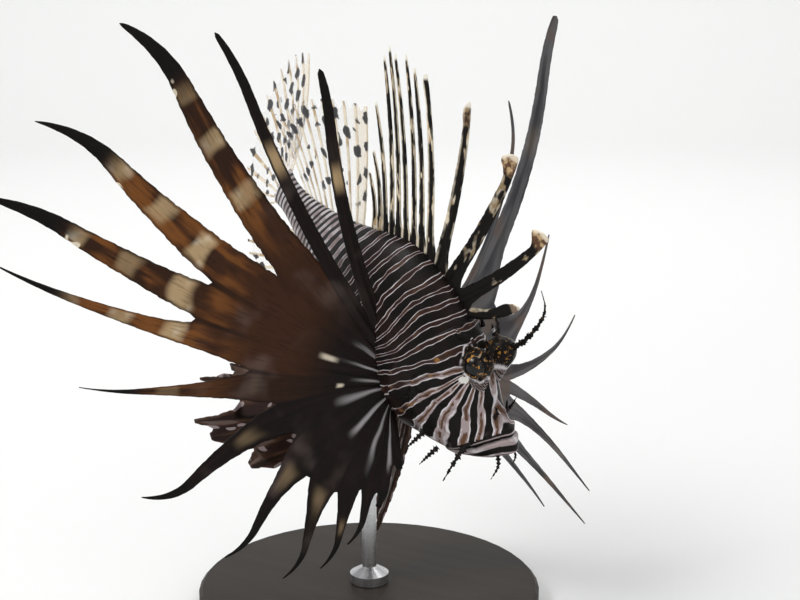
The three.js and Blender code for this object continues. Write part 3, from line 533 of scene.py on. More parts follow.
def soft_fin(node, rays, notch, blade, material, seed):
    """A nearly clear fin whose webs end short of the rays' tips by the notch's depth."""
    lengths = [np.linalg.norm(ray["tip"] - ray["root"]) for ray in rays]
    webs = [min(a, b) - notch for a, b in zip(lengths, lengths[1:])]
    built = fan_fin(rays, webs, 1.0, lambda t, i: mix(0.5, 0.2, t), lambda t, i, side: mix(*blade, t),
                    edge=0.1, columns=5, narrowing=2.0, ragged=0.2, ridge_width=0.45, seed=seed)
    skin_over(node, built, material, "clear_fin")


# Places along the back, leans in degrees and lengths of the soft fins' first and last rays
SOFT_DORSAL = {"rays": 11, "place": (-100.5, -135), "lean": (30, 78), "length": (46.5, 38), "arch": 3}
ANAL = {"place": (-104, -131), "lean": (28, 66), "lengths": [12, 20, 27, 37, 40, 41, 40, 37, 33, 28]}
TAIL = {"rays": 13, "foot": (-149, 0.3), "height": (7, -7), "angle": (50, -42), "length": (50, 46),
        "arch": 10}


def soft_dorsal(material):
    rays = []
    for i in range(SOFT_DORSAL["rays"]):
        part = i / (SOFT_DORSAL["rays"] - 1)
        spot = mix(*SOFT_DORSAL["place"], part)
        length = mix(*SOFT_DORSAL["length"], part) + SOFT_DORSAL["arch"] * math.sin(math.pi * part)
        lean = math.radians(mix(*SOFT_DORSAL["lean"], part**1.1))
        rays.append(midline_ray(spot, float(back_line(-spot)), lean,
                                length, -1.2, 2 * part))
    soft_fin("soft_dorsal_fin", rays, 3, (0.8, 0.5), material, 5)


def anal(material):
    rays = []
    for i, length in enumerate(ANAL["lengths"]):
        part = i / (len(ANAL["lengths"]) - 1)
        spot = mix(*ANAL["place"], part)
        lean = math.radians(mix(*ANAL["lean"], part))
        rays.append(midline_ray(spot, float(belly_line(-spot)), lean, length, 1))
    soft_fin("anal_fin", rays[::-1], 3, (0.8, 0.5), material, 6)


def tail(material):
    swing = np.array([-math.cos(TAIL_FIN_SWING), math.sin(TAIL_FIN_SWING), 0])
    turn = TAIL_BEND + TAIL_FIN_SWING
    rays = []
    for i in range(TAIL["rays"]):
        part = i / (TAIL["rays"] - 1)
        fan = math.radians(mix(*TAIL["angle"], part))
        length = mix(*TAIL["length"], part) + TAIL["arch"] * math.sin(math.pi * part)
        direction = swing * math.cos(fan) + np.array([0, 0, math.sin(fan)])
        foot = np.array([*TAIL["foot"], mix(*TAIL["height"], part)])
        root, tip = bend_with(np.array([foot - direction * 2, foot + direction * length]), TAIL["foot"][0])
        rays.append({"root": root, "tip": tip, "normal": np.array([math.sin(turn), math.cos(turn), 0]),
                     "bow": 2.5 * (part - 0.5), "lift": 2.2})
    soft_fin("tail_fin", rays, 4, (0.9, 0.6), material, 7)


# Pectoral fins. Each ray: angle in the fin's plane, length, bow and hook towards the next ray,
# half the blade's breadth, how it tapers, and how far its tip comes out of the plane
ROOT_TOP = np.array([-55.6, 15.6, -5])
ROOT_BOTTOM = np.array([-47.6, 14, -26])
RIGHT_RAYS = [
    (24, 118, 5.8, 2.6, 3.0, 0.25, 0), (38, 143, 5.7, 4.1, 3.0, 0.3, 0), (46, 163, 9.4, 11.1, 9.0, 0.55, 0),
    (62, 160, 8.8, 10.9, 12.4, 0.8, 0), (75, 161, 6.0, 5.6, 8.4, 0.6, 0), (85, 152, 5.2, -1.2, 6.7, 1.0, 0),
    (103, 115, 0.5, -2.0, 10.0, 1.4, 0), (133, 102, -11.3, -11.4, 7.6, 0.8, 0),
    (155, 92, -10.1, -7.7, 5.5, 0.8, 0), (171, 88, -8.0, -7.5, 4.2, 0.8, 0),
    (179, 80, -3.3, -5.4, 3.9, 0.8, 0), (185, 69, 0.2, -4.0, 3.0, 0.8, 0), (195, 54, 0.0, -3.0, 2.8, 0.8, 0),
    (206, 40, 0.0, 0.0, 2.4, 0.8, 0),
]
RIGHT_WEBS = [15, 17, 60, 81, 82, 59, 47, 42, 46, 43, 38, 36, 30]
LEFT_RAYS = [
    (30, 105, 10.0, -6.0, 1.4, 0.3, 14), (35, 162, 17.9, 5.9, 4.6, 0.2, 0), (64, 86, 22.0, 1.8, 1.8, 0.5, 0),
    (93, 89, 15.6, -3.9, 4.4, 0.9, 0), (123, 90, -5.4, -2.1, 4.4, 0.9, 0),
    (133, 117, -8.7, -1.0, 3.6, 0.9, 0),
    (139, 123, -3.5, -0.4, 3.2, 0.9, 0), (144, 97, -1.8, 0.5, 2.4, 0.8, 0), (150, 52, 0.0, 0.0, 2.4, 0.8, 0),
    (156, 38, 0.0, 0.0, 2.2, 0.8, 0), (163, 31, 0.0, 0.0, 2.0, 0.8, 0), (172, 27, 0.0, 0.0, 1.8, 0.8, 0),
    (182, 25, 0.0, 0.0, 1.6, 0.8, 0), (192, 24, 0.0, 0.0, 1.6, 0.8, 0),
]
LEFT_WEBS = [24, 42, 40, 44, 52, 56, 50, 32, 26, 22, 19, 17, 16]
# Middle of each fin's root and the normal of its plane
RIGHT_PLANE = ((-56, -15, -11), (0.635, -0.514, 0.57))
LEFT_PLANE = ((-56, 15, -11), (0.7, -0.15, 0.7))


def pectoral(side_name, side, plane, blades, webs, material):
    centre, face = np.array(plane[0], float), unit(plane[1])
    upward = unit(np.array([0, 0, 1]) - face * face[2])
    across = np.cross(upward, face) * side
    rays = []
    for i, (angle, length, bow, hook, _, _, ahead) in enumerate(blades):
        turn = math.radians(angle)
        tip = centre + (upward * math.cos(turn) + across * math.sin(turn)) * length + face * ahead
        foot = mix(ROOT_TOP, ROOT_BOTTOM, i / (len(blades) - 1)) * np.array([1, side, 1])
        root = foot + np.array([0, -side * 4, 0]) - unit(tip - foot)
        rays.append({"root": root, "tip": tip, "normal": face, "bow": bow, "hook": hook})

    def width(t, i, which):
        blade, taper = blades[i][4:6]
        return blade * (1 - t) ** taper * smoothstep(t, -0.1, 0.25) + 0.15

    built = fan_fin(rays, webs, 1.4, lambda t, i: mix(1.2, 0.25, min(1, t * 1.25) ** 0.6), width,
                    edge=0.15, columns=6, narrowing=7.0, ragged=0.05, ridge_width=0.9, seed=10 + side)
    skin_over(f"pectoral_fin_{side_name}", built, material, "banded_fin")


# Pelvic fins
PELVIC_ROOT = {"front": -47, "rear": -56, "y": 5.5, "z": -28.5}
PELVIC_TIPS = {
    "right": [(-70, -19, -82), (-80, -31, -83), (-92, -50, -67), (-99, -56, -60), (-113, -41, -57),
              (-113, -24, -56)],
    "left": [(-32, 8, -104), (-37, 13, -104), (-43, 20, -99), (-47, 23, -92), (-51, 27, -84), (-52, 27, -76)],
}
PELVIC_WEBS = {"right": [56, 60, 70, 57, 62], "left": [60, 60, 58, 54, 50]}


def pelvic(side_name, side, material):
    rays = []
    for i, tip in enumerate(PELVIC_TIPS[side_name]):
        part = i / (len(PELVIC_TIPS[side_name]) - 1)
        foot = mix(PELVIC_ROOT["front"], PELVIC_ROOT["rear"], part)
        rays.append({"root": np.array([foot, side * PELVIC_ROOT["y"], PELVIC_ROOT["z"]]),
                     "tip": np.array(tip, float), "normal": np.array([0.2, side, 0.25 * side]),
                     "bow": 1.5 * (part - 0.5), "lift": 2})
    built = fan_fin(rays, PELVIC_WEBS[side_name], 1.2, lambda t, i: mix(1.1, 0.25, min(1, t * 1.2)),
                    lambda t, i, which: 3.2 * (1 - t) ** 0.55 + 0.15,
                    edge=0.14, columns=5, narrowing=5.0, ragged=0.2, ridge_width=0.7, seed=20 + side)
    skin_over(f"pelvic_fin_{side_name}", built, material, "dark_fin")


# Tentacles and skin flaps
def curve_points(route, count):
    """Even steps of a smooth curve through the route's points."""
    route = np.array(route, float)
    padded = np.vstack([2 * route[0] - route[1], route, 2 * route[-1] - route[-2]])
    t = np.linspace(0, len(route) - 1 - 1e-6, count)
    i = t.astype(int)
    f = (t - i)[:, None]
    a, b, c, d = padded[i], padded[i + 1], padded[i + 2], padded[i + 3]
    return 0.5 * (2 * b + (c - a) * f + (2 * a - 5 * b + 4 * c - d) * f**2 + (3 * b - a - 3 * c + d) * f**3)


def strand(route, thickness, width, across, steps, sides=14, frill=0.0, waves=5, seed=0, tip=0.12):
    """Points, faces and fields of a soft tapering strand, frilled at its two edges."""
    centre = curve_points(route, steps + 1)
    tangent = unit(np.gradient(centre, axis=0))
    across = np.array(across, float)
    side = unit(across - tangent * (tangent @ across)[:, None])
    face = np.cross(tangent, side)
    phase = np.random.default_rng(seed).uniform(0, 6.28, 4)
    t = np.linspace(0, 1, steps + 1)
    taper = np.clip((1 - t) ** 0.8, tip, 1)
    rows = []
    for angle in 2 * math.pi * np.arange(sides) / sides:
        edge = abs(math.cos(angle)) ** 3
        which = 0 if math.cos(angle) > 0 else 1
        wave = (np.sin(2 * math.pi * waves * t + phase[which]) * 0.6
                + np.sin(2 * math.pi * waves * 2.7 * t + phase[which + 2]) * 0.5)
        stretch = 1 + frill * edge * wave * 2
        rows.append(centre + side * (math.cos(angle) * width * taper * stretch)[:, None]
                    + face * (math.sin(angle) * thickness * np.maximum(taper, 0.25))[:, None])
    points = np.vstack([np.stack(rows, axis=1).reshape(-1, 3), centre[0], centre[-1]])
    fields = np.zeros((len(points), 3))
    fields[:-2, 1] = np.repeat(t, sides)
    fields[-1, 1] = 1
    return points, tube_faces(steps + 1, sides), fields


def joined(parts):
    """Several meshes as one set of points, faces and fields."""
    points, faces, fields, count = [], [], [], 0
    for part_points, part_faces, part_fields in parts:
        points.append(part_points)
        fields.append(part_fields)
        faces.extend([tuple(i + count for i in face) for face in part_faces])
        count += len(part_points)
    return np.vstack(points), faces, np.vstack(fields)


def mirrored(route, side):
    return [(x, y * side, z) for x, y, z in route]


BROWS = {
    "right": [(-26.6, 6.6, 21.2), (-24.6, 8.6, 26), (-24.8, 9, 31), (-26.6, 8.5, 37), (-30, 8, 40),
              (-32.7, 7.5, 41.5)],
    "left": [(-25.6, 6.8, 21.2), (-22.4, 8.8, 25), (-20.7, 10, 32), (-20.4, 10.5, 40), (-22, 10.5, 45),
             (-26.2, 10, 49.5)],
}


def brow_tentacle(side_name, side, material):
    route = mirrored(BROWS[side_name], side)
    made = [strand(route, 0.7, 1.35, (1, 0, 0), steps=90, frill=0.3, waves=9, seed=30 + side)]
    stem = curve_points(route, 12)
    for i in range(2, 9):
        out = unit(np.array([0.9 * (1 if i % 2 else -1), 0.3 * side, 0.25]))
        length = mix(2.2, 0.8, i / 9)
        made.append(strand([stem[i], stem[i] + out * length * 0.6, stem[i] + out * length + [0, 0, 0.5]],
                           0.22, 0.42, (0, 0, 1), steps=8, sides=8, frill=0.2, waves=2, seed=i))
    skin_over(f"brow_tentacle_{side_name}", joined(made), material, "tentacle")


# Fleshy flaps: route on one side (y is outward), thickness, breadth, edge direction and frill
FLAPS = {
    "cheek_flap_long": ([(-13, 9, -5), (-12.1, 15, -14.4), (-10.2, 21, -24.1)], 0.5, 1.9, (0.8, 0, 0.6), 0.5),
    "nasal_flap": ([(-11.5, 4, 1), (-11, 5.2, 4.6), (-11.5, 6.6, 8)], 0.35, 0.9, (1, 0, 0), 0.35),
    "jaw_flap": ([(-3, 4.4, -9.5), (0.6, 6, -13), (1.4, 7.5, -19)], 0.35, 1.0, (1, 0, 0), 0.35),
    "cheek_flap_low": ([(-22, 11.5, -22), (-22.8, 14.2, -27), (-23.3, 16, -31)], 0.4, 1.1, (1, 0, 0), 0.35),
    "cheek_flap_rear": ([(-29.6, 12.6, -20), (-30.1, 16, -24.4), (-30.6, 18, -28)], 0.4, 1.2, (1, 0, 0),
                        0.35),
}


def flaps(material):
    for name, (route, thickness, width, across, frill) in FLAPS.items():
        for side_name, side in (("right", -1), ("left", 1)):
            points, faces, fields = strand(mirrored(route, side), thickness, width, across, steps=50,
                                           frill=frill, waves=7, seed=40 + side)
            make_mesh(f"{name}_{side_name}", points, faces, material, "tentacle", fin=fields)


# Bony spines of the head: foot, direction, length and root's radius on one side (y is outward)
THORNS = [
    ((-24, 6.2, 22.6), (-0.8, 0.2, 0.7), 3.0, 0.9), ((-32.5, 6.6, 23.4), (-0.85, 0.2, 0.6), 3.4, 1.0),
    ((-38.5, 7.4, 22.4), (-0.85, 0.3, 0.5), 3.2, 1.0), ((-41.5, 16.6, 0), (-0.8, 0.6, 0), 3.0, 1.0),
    ((-39.8, 15.6, -9), (-0.7, 0.7, -0.2), 3.0, 1.0), ((-34, 13.2, -17), (-0.6, 0.7, -0.3), 2.8, 0.9),
    ((-12, 3.2, 4.4), (-0.6, 0.4, 0.6), 2.2, 0.7), ((-29, 15, -1.5), (-0.8, 0.6, 0.1), 2.2, 0.8),
    ((-35, 15.8, -2), (-0.8, 0.6, 0.1), 2.4, 0.8),
]


def head_spines(material):
    made = []
    for foot, lean, length, radius in THORNS:
        for side in (-1, 1):
            start = np.array(foot) * [1, side, 1]
            out = unit(np.array(lean) * [1, side, 1])
            made.append(strand([start - out * 1.4, start + out * length * 0.5, start + out * length],
                               radius, radius, (0, 0.3, 1), steps=10, sides=10, tip=0.05))
    points, faces, _ = joined(made)
    make_mesh("head_spines", points, faces, material, "skin", **skin_fields(points))


def eyeball(side_name, side, material):
    rows, around = 48, 64
    theta, phi = np.meshgrid(np.linspace(0.02, math.pi - 0.02, rows),
                             np.linspace(0, 2 * math.pi, around, endpoint=False), indexing="ij")
    radius = EYE["radius"]
    half_thick = radius * EYE_FLATNESS * side
    local = np.stack([radius * np.sin(theta) * np.cos(phi), half_thick * np.cos(theta),
                      radius * np.sin(theta) * np.sin(phi)], axis=-1).reshape(-1, 3)
    local = np.vstack([local, (0, half_thick, 0), (0, -half_thick, 0)])
    faces = [face[::side] for face in tube_faces(rows, around)]
    make_mesh(f"eye_{side_name}_ball", local + [EYE["x"], side * EYE["y"], EYE["z"]], faces, material,
              "eye", (f"eye_{side_name}",), eye_mm=local)


# Materials: all colour comes from the fields above and from noise in the fish's own millimetres
BLACK = (0.006, 0.0048, 0.0042)
MAROON = (0.024, 0.011, 0.009)
PINK_GREY = (0.36, 0.29, 0.29)
WARM_GREY = (0.20, 0.145, 0.13)
GOLDEN_BROWN = (0.42, 0.20, 0.055)
LAVENDER_WHITE = (0.66, 0.62, 0.64)
BROWN = (0.10, 0.050, 0.028)
RUFOUS = (0.20, 0.072, 0.018)
DARK_RUFOUS = (0.060, 0.022, 0.009)
TAN = (0.50, 0.35, 0.19)
CREAM = (0.80, 0.70, 0.54)
SPOT_GREY = (0.045, 0.042, 0.045)
GOLD = (0.75, 0.36, 0.08)
EYE_PATCH = (0.74, 0.72, 0.68)
CLEAR_WEB = (0.74, 0.72, 0.70)
TIP_WHITE = (0.85, 0.80, 0.70)
PUPIL = (0.004, 0.004, 0.005)
# Dark greys and a brown that stand for the shade over the far pectoral fin: painted shade
SHADE_GREYS = ((0.055, 0.055, 0.06), (0.15, 0.145, 0.15))
SHADE_BROWN = (0.16, 0.12, 0.10)
STAIN = ((0.016, 0.013, 0.011), (0.040, 0.030, 0.023))
STEEL = (0.62, 0.62, 0.63)
FLOOR_GREY = (0.78, 0.78, 0.77)
FLOOR_GLOW = (0.90, 0.93, 0.96)

# Dark lines of the lips: from, to and softness, by distance below the mouth's slit
LIP_LINES = [(-3.0, -1.5, 0.15), (-0.9, 0.35, 0.15), (2.5, 5.1, 0.18), (6.1, 6.8, 0.15), (7.9, 10.2, 0.15)]
# Pale bands across the pectoral rays: the first one's distance from the root, and their spacing
FIRST_BAND = 90
BAND_SPACING = 21


class Value:
    """A value of a shader. What is reckoned from values becomes Math nodes."""

    def __init__(self, look, socket):
        self.look = look
        self.socket = socket

    def from_half(self):
        """Distance from the nearest half of a whole number."""
        return abs(self.fraction() - 0.5)

    def ramp(self, low, high):
        """Smooth step from 0 at low to 1 at high, which may be the smaller of the two."""
        ends = (1.0, 0.0) if low > high else (0.0, 1.0)
        return self.look.node("ShaderNodeMapRange", "Result", {
            "Value": self, "From Min": min(low, high), "From Max": max(low, high),
            "To Min": ends[0], "To Max": ends[1]}, interpolation_type="SMOOTHSTEP")

    def window(self, low, high, soft):
        """1 between low and high, with soft edges."""
        return self.ramp(low - soft, low + soft) * self.ramp(high + soft, high - soft)


def reckoning(operation):
    return lambda self, *others: self.look.node("ShaderNodeMath", 0, dict(enumerate((self, *others))),
                                                operation=operation)


for method, operation in {"__add__": "ADD", "__sub__": "SUBTRACT", "__mul__": "MULTIPLY", "__pow__": "POWER",
                          "__abs__": "ABSOLUTE", "fraction": "FRACT", "whole": "FLOOR", "most": "MAXIMUM",
                          "root": "SQRT", "cosine": "COSINE"}.items():
    setattr(Value, method, reckoning(operation))


class Look:
    """A procedural material, with the field that its noise is laid out in."""

    def __init__(self, name, where=None):
        self.material = bpy.data.materials.new(name)
        self.material.use_nodes = True
        self.tree = self.material.node_tree
        self.shader = self.tree.nodes["Principled BSDF"]
        self.where = self.field(where) if where else None

    def feed(self, socket, value):
        if isinstance(value, Value):
            self.tree.links.new(value.socket, socket)
        else:
            socket.default_value = (*value, 1) if socket.type == "RGBA" else value

    def node(self, kind, output, inputs, **settings):
        """Adds a node, sets and feeds it, and gives one of its outputs."""
        made = self.tree.nodes.new(kind)
        for key, value in settings.items():
            setattr(made, key, value)
        for key, value in inputs.items():
            self.feed(made.inputs[key], value)
        return Value(self, made.outputs[output])

    def field(self, name):
        return self.node("ShaderNodeAttribute", "Vector", {}, attribute_name=name)

    def parts(self, name):
        """The three parts of a shading field."""
        return [self.node("ShaderNodeSeparateXYZ", i, {0: self.field(name)}) for i in range(3)]

    def ray_parts(self):
        """Place across all rays of a fin, number of the nearest ray, place across it from
        -0.5 to 0.5, distance and part along it."""
        lane, far, part = self.parts("fin")
        number = (lane + 0.5).whole()
        return lane, number, lane - number, far, part

    def place(self, *parts):
        return self.node("ShaderNodeCombineXYZ", 0, dict(enumerate(parts)))

    def noise(self, scale, detail=2.0, where=None):
        inputs = {"Vector": where or self.where, "Scale": scale, "Detail": detail}
        return self.node("ShaderNodeTexNoise", "Fac", inputs)

    def sway(self, scale, detail, reach):
        """Noise that swings to both sides of zero."""
        return (self.noise(scale, detail) - 0.5) * reach

    def grain(self, stretch, scale, detail):
        """Noise in the object's own place, stretched."""
        own = self.node("ShaderNodeTexCoord", "Object", {})
        return self.noise(scale, detail, self.node("ShaderNodeMapping", 0, {"Vector": own, "Scale": stretch}))

    def blend(self, a, b, amount):
        return self.node("ShaderNodeMix", "Result", {"Factor": amount, "A": a, "B": b}, data_type="RGBA")

    def layers(self, colour, *layers):
        """Colours laid over the first, each by its own amount."""
        for over, amount in layers:
            colour = self.blend(colour, over, amount)
        return colour

    def bump(self, height, distance, strength):
        inputs = {"Height": height, "Distance": distance, "Strength": strength}
        self.feed(self.shader.inputs["Normal"], self.node("ShaderNodeBump", 0, inputs))

    def surface(self, colour, roughness, specular=0.25, **others):
        inputs = {"Base Color": colour, "Roughness": roughness, "Specular IOR Level": specular, **others}
        for key, value in inputs.items():
            self.feed(self.shader.inputs[key.replace("_", " ")], value)
        return self.material


def skin_look():
    look = Look("banded_skin", "straight_mm")
    count, on_head, on_stalk = look.parts("pattern")
    between_eyes, below_eye, ahead_of_gill = look.parts("patches")
    below_mouth, in_jaw, from_eye = look.parts("marks")
    # The bands' count made wavy, and the place between the middle of a dark band, 0, and a pale one, 1
    count = count + look.sway(0.07, 1, 0.75) + look.sway(0.33, 0, 0.16)
    from_middle = (count + 0.5).from_half() * 2
    # Half of each dark band, wide on the trunk and narrower on the head and stalk
    dark_half = look.sway(0.11, 0, 0.36) + 0.65 + on_head * -0.17 + on_stalk * -0.09
    inside = from_middle - dark_half
    within = inside - (on_head * 0.075 + 0.085)
    filling = within.ramp(-0.03, 0.04) * (on_stalk * -0.7 + 1)
    tint = look.noise(0.2, 3)
    dark = look.layers(BLACK, (MAROON, look.noise(0.07).ramp(0.45, 0.75) * 0.6), (SPOT_GREY, on_stalk * 0.7))
    line = look.blend(LAVENDER_WHITE, PINK_GREY, look.noise(0.24).ramp(0.38, 0.62))
    head_fill = look.layers(PINK_GREY, (WARM_GREY, tint.ramp(0.46, 0.60)),
                            (BROWN, within.ramp(0.16, 0.24) * tint.ramp(0.36, 0.44)))
    fill = look.layers(MAROON, (BROWN, tint.ramp(0.45, 0.70) * 0.5), (head_fill, on_head),
                       (GOLDEN_BROWN, tint.ramp(0.57, 0.68) * ahead_of_gill.window(2, 13, 3) * 0.5))
    # Lips
    below_mouth = below_mouth + look.sway(0.3, 1, 0.6)
    lip_line = below_mouth * 0
    for span in LIP_LINES:
        lip_line = lip_line.most(below_mouth.window(*span))
    lips = look.layers(PINK_GREY, (LAVENDER_WHITE, tint.ramp(0.5, 0.7)), (BLACK, lip_line))
    # Round the eye: gold-flecked dark lid, then a broken pale ring and a white patch behind and below
    from_ball = from_eye - EYE["radius"]
    gold = look.blend(GOLD, CREAM, tint.ramp(0.55, 0.66))
    lid = look.blend(BLACK, gold, look.noise(0.75, 3).ramp(0.58, 0.64) * 0.4)
    ring = from_ball.window(1.8, 2.5, 0.3) * look.noise(0.22, 1).ramp(0.42, 0.54)
    patch = (below_eye * (look.noise(0.5, 1) + 0.55)).ramp(0.50, 0.75)
    colour = look.layers(dark, (look.blend(line, fill, filling), inside.ramp(-0.03, 0.03)),
                         (lips, below_mouth.window(-2.4, 12, 0.25) * in_jaw),
                         (BLACK, between_eyes.ramp(0.25, 0.5)), (lid, from_ball.ramp(2.1, 1.5)),
                         (LAVENDER_WHITE, ring), (EYE_PATCH, patch))
    scales = look.node("ShaderNodeTexVoronoi", "Distance", {"Vector": look.where, "Scale": 0.85},
                       feature="DISTANCE_TO_EDGE")
    look.bump(scales.ramp(0, 0.25), 0.0001, 0.3)
    return look.surface(colour, 0.4, 0.11)


def pectoral_look(name, painted_shade):
    look = Look(name, "rest_mm")
    lane, number, across, far, part = look.ray_parts()
    off = abs(across)
    streaks = look.noise(1, where=look.place(lane * 2.6, far * 0.03, 0))
    fibres = look.noise(1, where=look.place(lane * 12, far * 0.10, 0))
    upper = number.ramp(6.6, 5.4) * number.ramp(1.4, 2.2)
    # The palm of the upper rays is dark brown with faint paler clouds
    palm = far.window(34, 82, 12) * number.ramp(10.5, 8.5)
    clouds = palm * look.noise(0.055).ramp(0.50, 0.70)
    # Their outer half is rufous and streaked, with pale cross bands
    outer = part.ramp(0.86, 0.76) * far.ramp(56, 84) * upper
    burn = (streaks + look.sway(0.05, 2, 0.9)).ramp(0.36, 0.62)
    past_first = far + look.sway(0.05, 2, 12) - FIRST_BAND
    band = (past_first * (2 * math.pi / BAND_SPACING)).cosine().ramp(-0.15, 0.9)
    band = band * past_first.ramp(-0.6 * BAND_SPACING, -0.2 * BAND_SPACING) * outer
    band = band * (off + (streaks - 0.5) * 0.25).ramp(0.50, 0.30)
    band = band * (look.noise(0.035, 0).ramp(0.40, 0.60) * 0.45 + 0.5)
    # The two leading rays carry one tan band, the lower rays a small blotch each
    single = part.window(0.61, 0.68, 0.03) * number.ramp(1.7, 1.3) * off.ramp(0.45, 0.25)
    blotch = (far + look.sway(0.05, 0, 26)).window(53, 57, 4) * number.ramp(5.5, 7.5) * off.ramp(0.42, 0.10)
    # Pale nicks on the leading edges near the tips
    nick = part.window(0.77, 0.84, 0.01) * look.noise(0.22, 0).ramp(0.60, 0.64) * upper
    # Pale lines that radiate over the fleshy root, and one cream streak and one dot outside them
    from_line = ((lane + look.sway(0.08, 1, 0.5)) * 0.62).from_half()
    root_line = from_line.ramp(0.17, 0.01) * (far + look.sway(0.07, 0, 26)).ramp(27, 13)
    streak = lane.window(4.05, 4.4, 0.12) * far.window(25, 31, 2)
    dot = lane.window(5.9, 6.2, 0.1) * far.window(21, 23.5, 0.8)
    colour = look.layers(
        BLACK, (MAROON, streaks.ramp(0.40, 0.68) * 0.3 + 0.1), (DARK_RUFOUS, palm * upper * 0.75),
        (WARM_GREY, clouds * 0.30), (look.blend(DARK_RUFOUS, RUFOUS, burn), outer * (burn * 0.4 + 0.55)),
        (look.blend(TAN, CREAM, look.noise(0.10).ramp(0.50, 0.75)), band * 0.95),
        (BLACK, fibres.ramp(0.48, 0.34) * 0.28), (TAN, single * 0.8), (TAN, blotch * 0.42),
        (BLACK, off.ramp(0.38, 0.48) * part.ramp(0.30, 0.45) * 0.7),
        (BLACK, (part + (streaks - 0.5) * 0.1).ramp(0.80, 0.88)), (CREAM, nick * across.ramp(0.18, 0.34)),
        (LAVENDER_WHITE, root_line * number.ramp(1.4, 2.6) * 0.5))
    if painted_shade:
        # The far fin's own colours are washed to dark grey with faint brown clouds: painted shade
        brown = look.noise(0.05, 1).ramp(0.50, 0.60) * 0.8
        shade_colour = look.layers(SHADE_GREYS[0], (SHADE_GREYS[1], streaks.ramp(0.35, 0.65)), (SHADE_BROWN, brown))
        colour = look.blend(colour, shade_colour, 0.86)
    else:
        colour = look.blend(colour, CREAM, streak.most(dot) * 0.85)
    look.bump(fibres, 0.0002, 0.35)
    return look.surface(colour, 0.42, 0.09)


def dorsal_look():
    look = Look("dorsal_spines", "rest_mm")
    _, number, across, far, part = look.ray_parts()
    on_spine = look.place(number * 7.3, far * 0.11, across * 1.3)
    behind = number.ramp(2.4, 3.4)
    patches = look.noise(1, where=on_spine)
    mottle = (patches + part * 0.08).ramp(0.63, 0.70) * (behind * 0.4 + 0.5)
    edge = abs(across).ramp(0.26, 0.42) * behind * patches.ramp(0.38, 0.54)
    # Knobs at the tips of the first spines: tan, mottled brown below, with a white point in front
    speckle = (look.noise(0.45) - part * 1.6).ramp(-0.90, -1.10)
    knob = look.layers(BROWN, (TAN, speckle), (look.blend(BROWN, CREAM, 0.15), number.ramp(0.6, 0.4)),
                       (CREAM, across.ramp(0.30, 0.42) * part.ramp(0.93, 0.96)))
    pale = look.blend(TAN, CREAM, look.noise(3, 1, on_spine).ramp(0.4, 0.6))
    colour = look.layers(
        BLACK, (pale, mottle), (CREAM, edge * 0.8),
        (knob, part.ramp(0.86, 0.90) * number.ramp(3.6, 2.4)),
        (TIP_WHITE, part.ramp(0.962, 0.982) * (behind * 0.4 + 0.55)))
    look.bump(patches, 0.0002, 0.3)
    return look.surface(colour, 0.42, 0.11)


def from_spot(number, far, pace, stagger, narrow, beside):
    """Distance from the nearest of the spots along each ray, from the distance beside their line."""
    return (((far * pace + number * stagger).from_half() * narrow) ** 2 + beside**2).root()


def clear_look():
    look = Look("clear_membrane", "rest_mm")
    lane, number, across, far, _ = look.ray_parts()
    off = abs(across)
    ray = off.ramp(0.17, 0.09)
    reach = from_spot(number, far, 0.098, 0.37, 2.3, off * 1.5) + look.sway(0.4, 1, 0.7)
    spot = reach.ramp(0.66, 0.50) * look.noise(0.12, 0).ramp(0.46, 0.51) * far.ramp(9, 13)
    leading = lane.ramp(2.2, 0.4)
    ray_colour = look.blend(CREAM, TAN, look.noise(0.15, 1).ramp(0.45, 0.6))
    colour = look.layers(CLEAR_WEB, (ray_colour, ray), (CREAM, leading), (SPOT_GREY, spot))
    return look.surface(colour, 0.45, Alpha=(ray * 0.85).most(spot * 0.92).most(leading * 0.34).most(0.14))


def dark_fin_look():
    look = Look("pelvic_membrane", "rest_mm")
    lane, number, across, far, part = look.ray_parts()
    off = abs(across)
    streaks = look.noise(1, where=look.place(lane * 3, far * 0.05, 0))
    reach = from_spot(number, far, 0.09, 0.43, 3, (off - 0.45) * 4.2)
    spot = reach.ramp(0.6, 0.45) * look.noise(0.1, 0).ramp(0.42, 0.48) * part.ramp(0.15, 0.25)
    colour = look.layers(MAROON, (BROWN, streaks.ramp(0.36, 0.60) * 0.6),
                         (WARM_GREY, streaks.ramp(0.56, 0.68) * 0.6), (BLACK, off.ramp(0.12, 0.04) * 0.7),
                         (PINK_GREY, spot))
    look.bump(streaks, 0.0002, 0.3)
    return look.surface(colour, 0.45, 0.1)


def tentacle_look():
    look = Look("tentacle_skin", "rest_mm")
    look.bump(look.noise(1.6), 0.0002, 0.5)
    return look.surface(look.blend(BLACK, BROWN, look.noise(0.8).ramp(0.60, 0.68) * 0.8), 0.5, 0.1)


def eye_look():
    look = Look("glass_eye", "eye_mm")
    outward = abs(look.parts("eye_mm")[1]) * (1 / (EYE["radius"] * EYE_FLATNESS))
    colour = look.layers(BLACK, (GOLD, look.noise(0.7, 3).ramp(0.57, 0.63) * 0.55),
                         (PUPIL, outward.ramp(0.84, 0.88)))
    return look.surface(colour, 0.2, 0.3)


def base_look():
    look = Look("dark_oak_stain")
    figure = look.grain((14, 180, 60), 1, 4)
    look.bump(figure, 0.0002, 0.15)
    return look.surface(look.blend(*STAIN, figure), 0.5, 0.15)


def rod_look():
    look = Look("brushed_steel")
    return look.surface(STEEL, look.grain((200, 200, 2500), 1, 1) * 0.16 + 0.22, Metallic=1.0)


def floor_look():
    return Look("pale_floor").surface(FLOOR_GREY, 0.9, Emission_Color=FLOOR_GLOW, Emission_Strength=0.03)


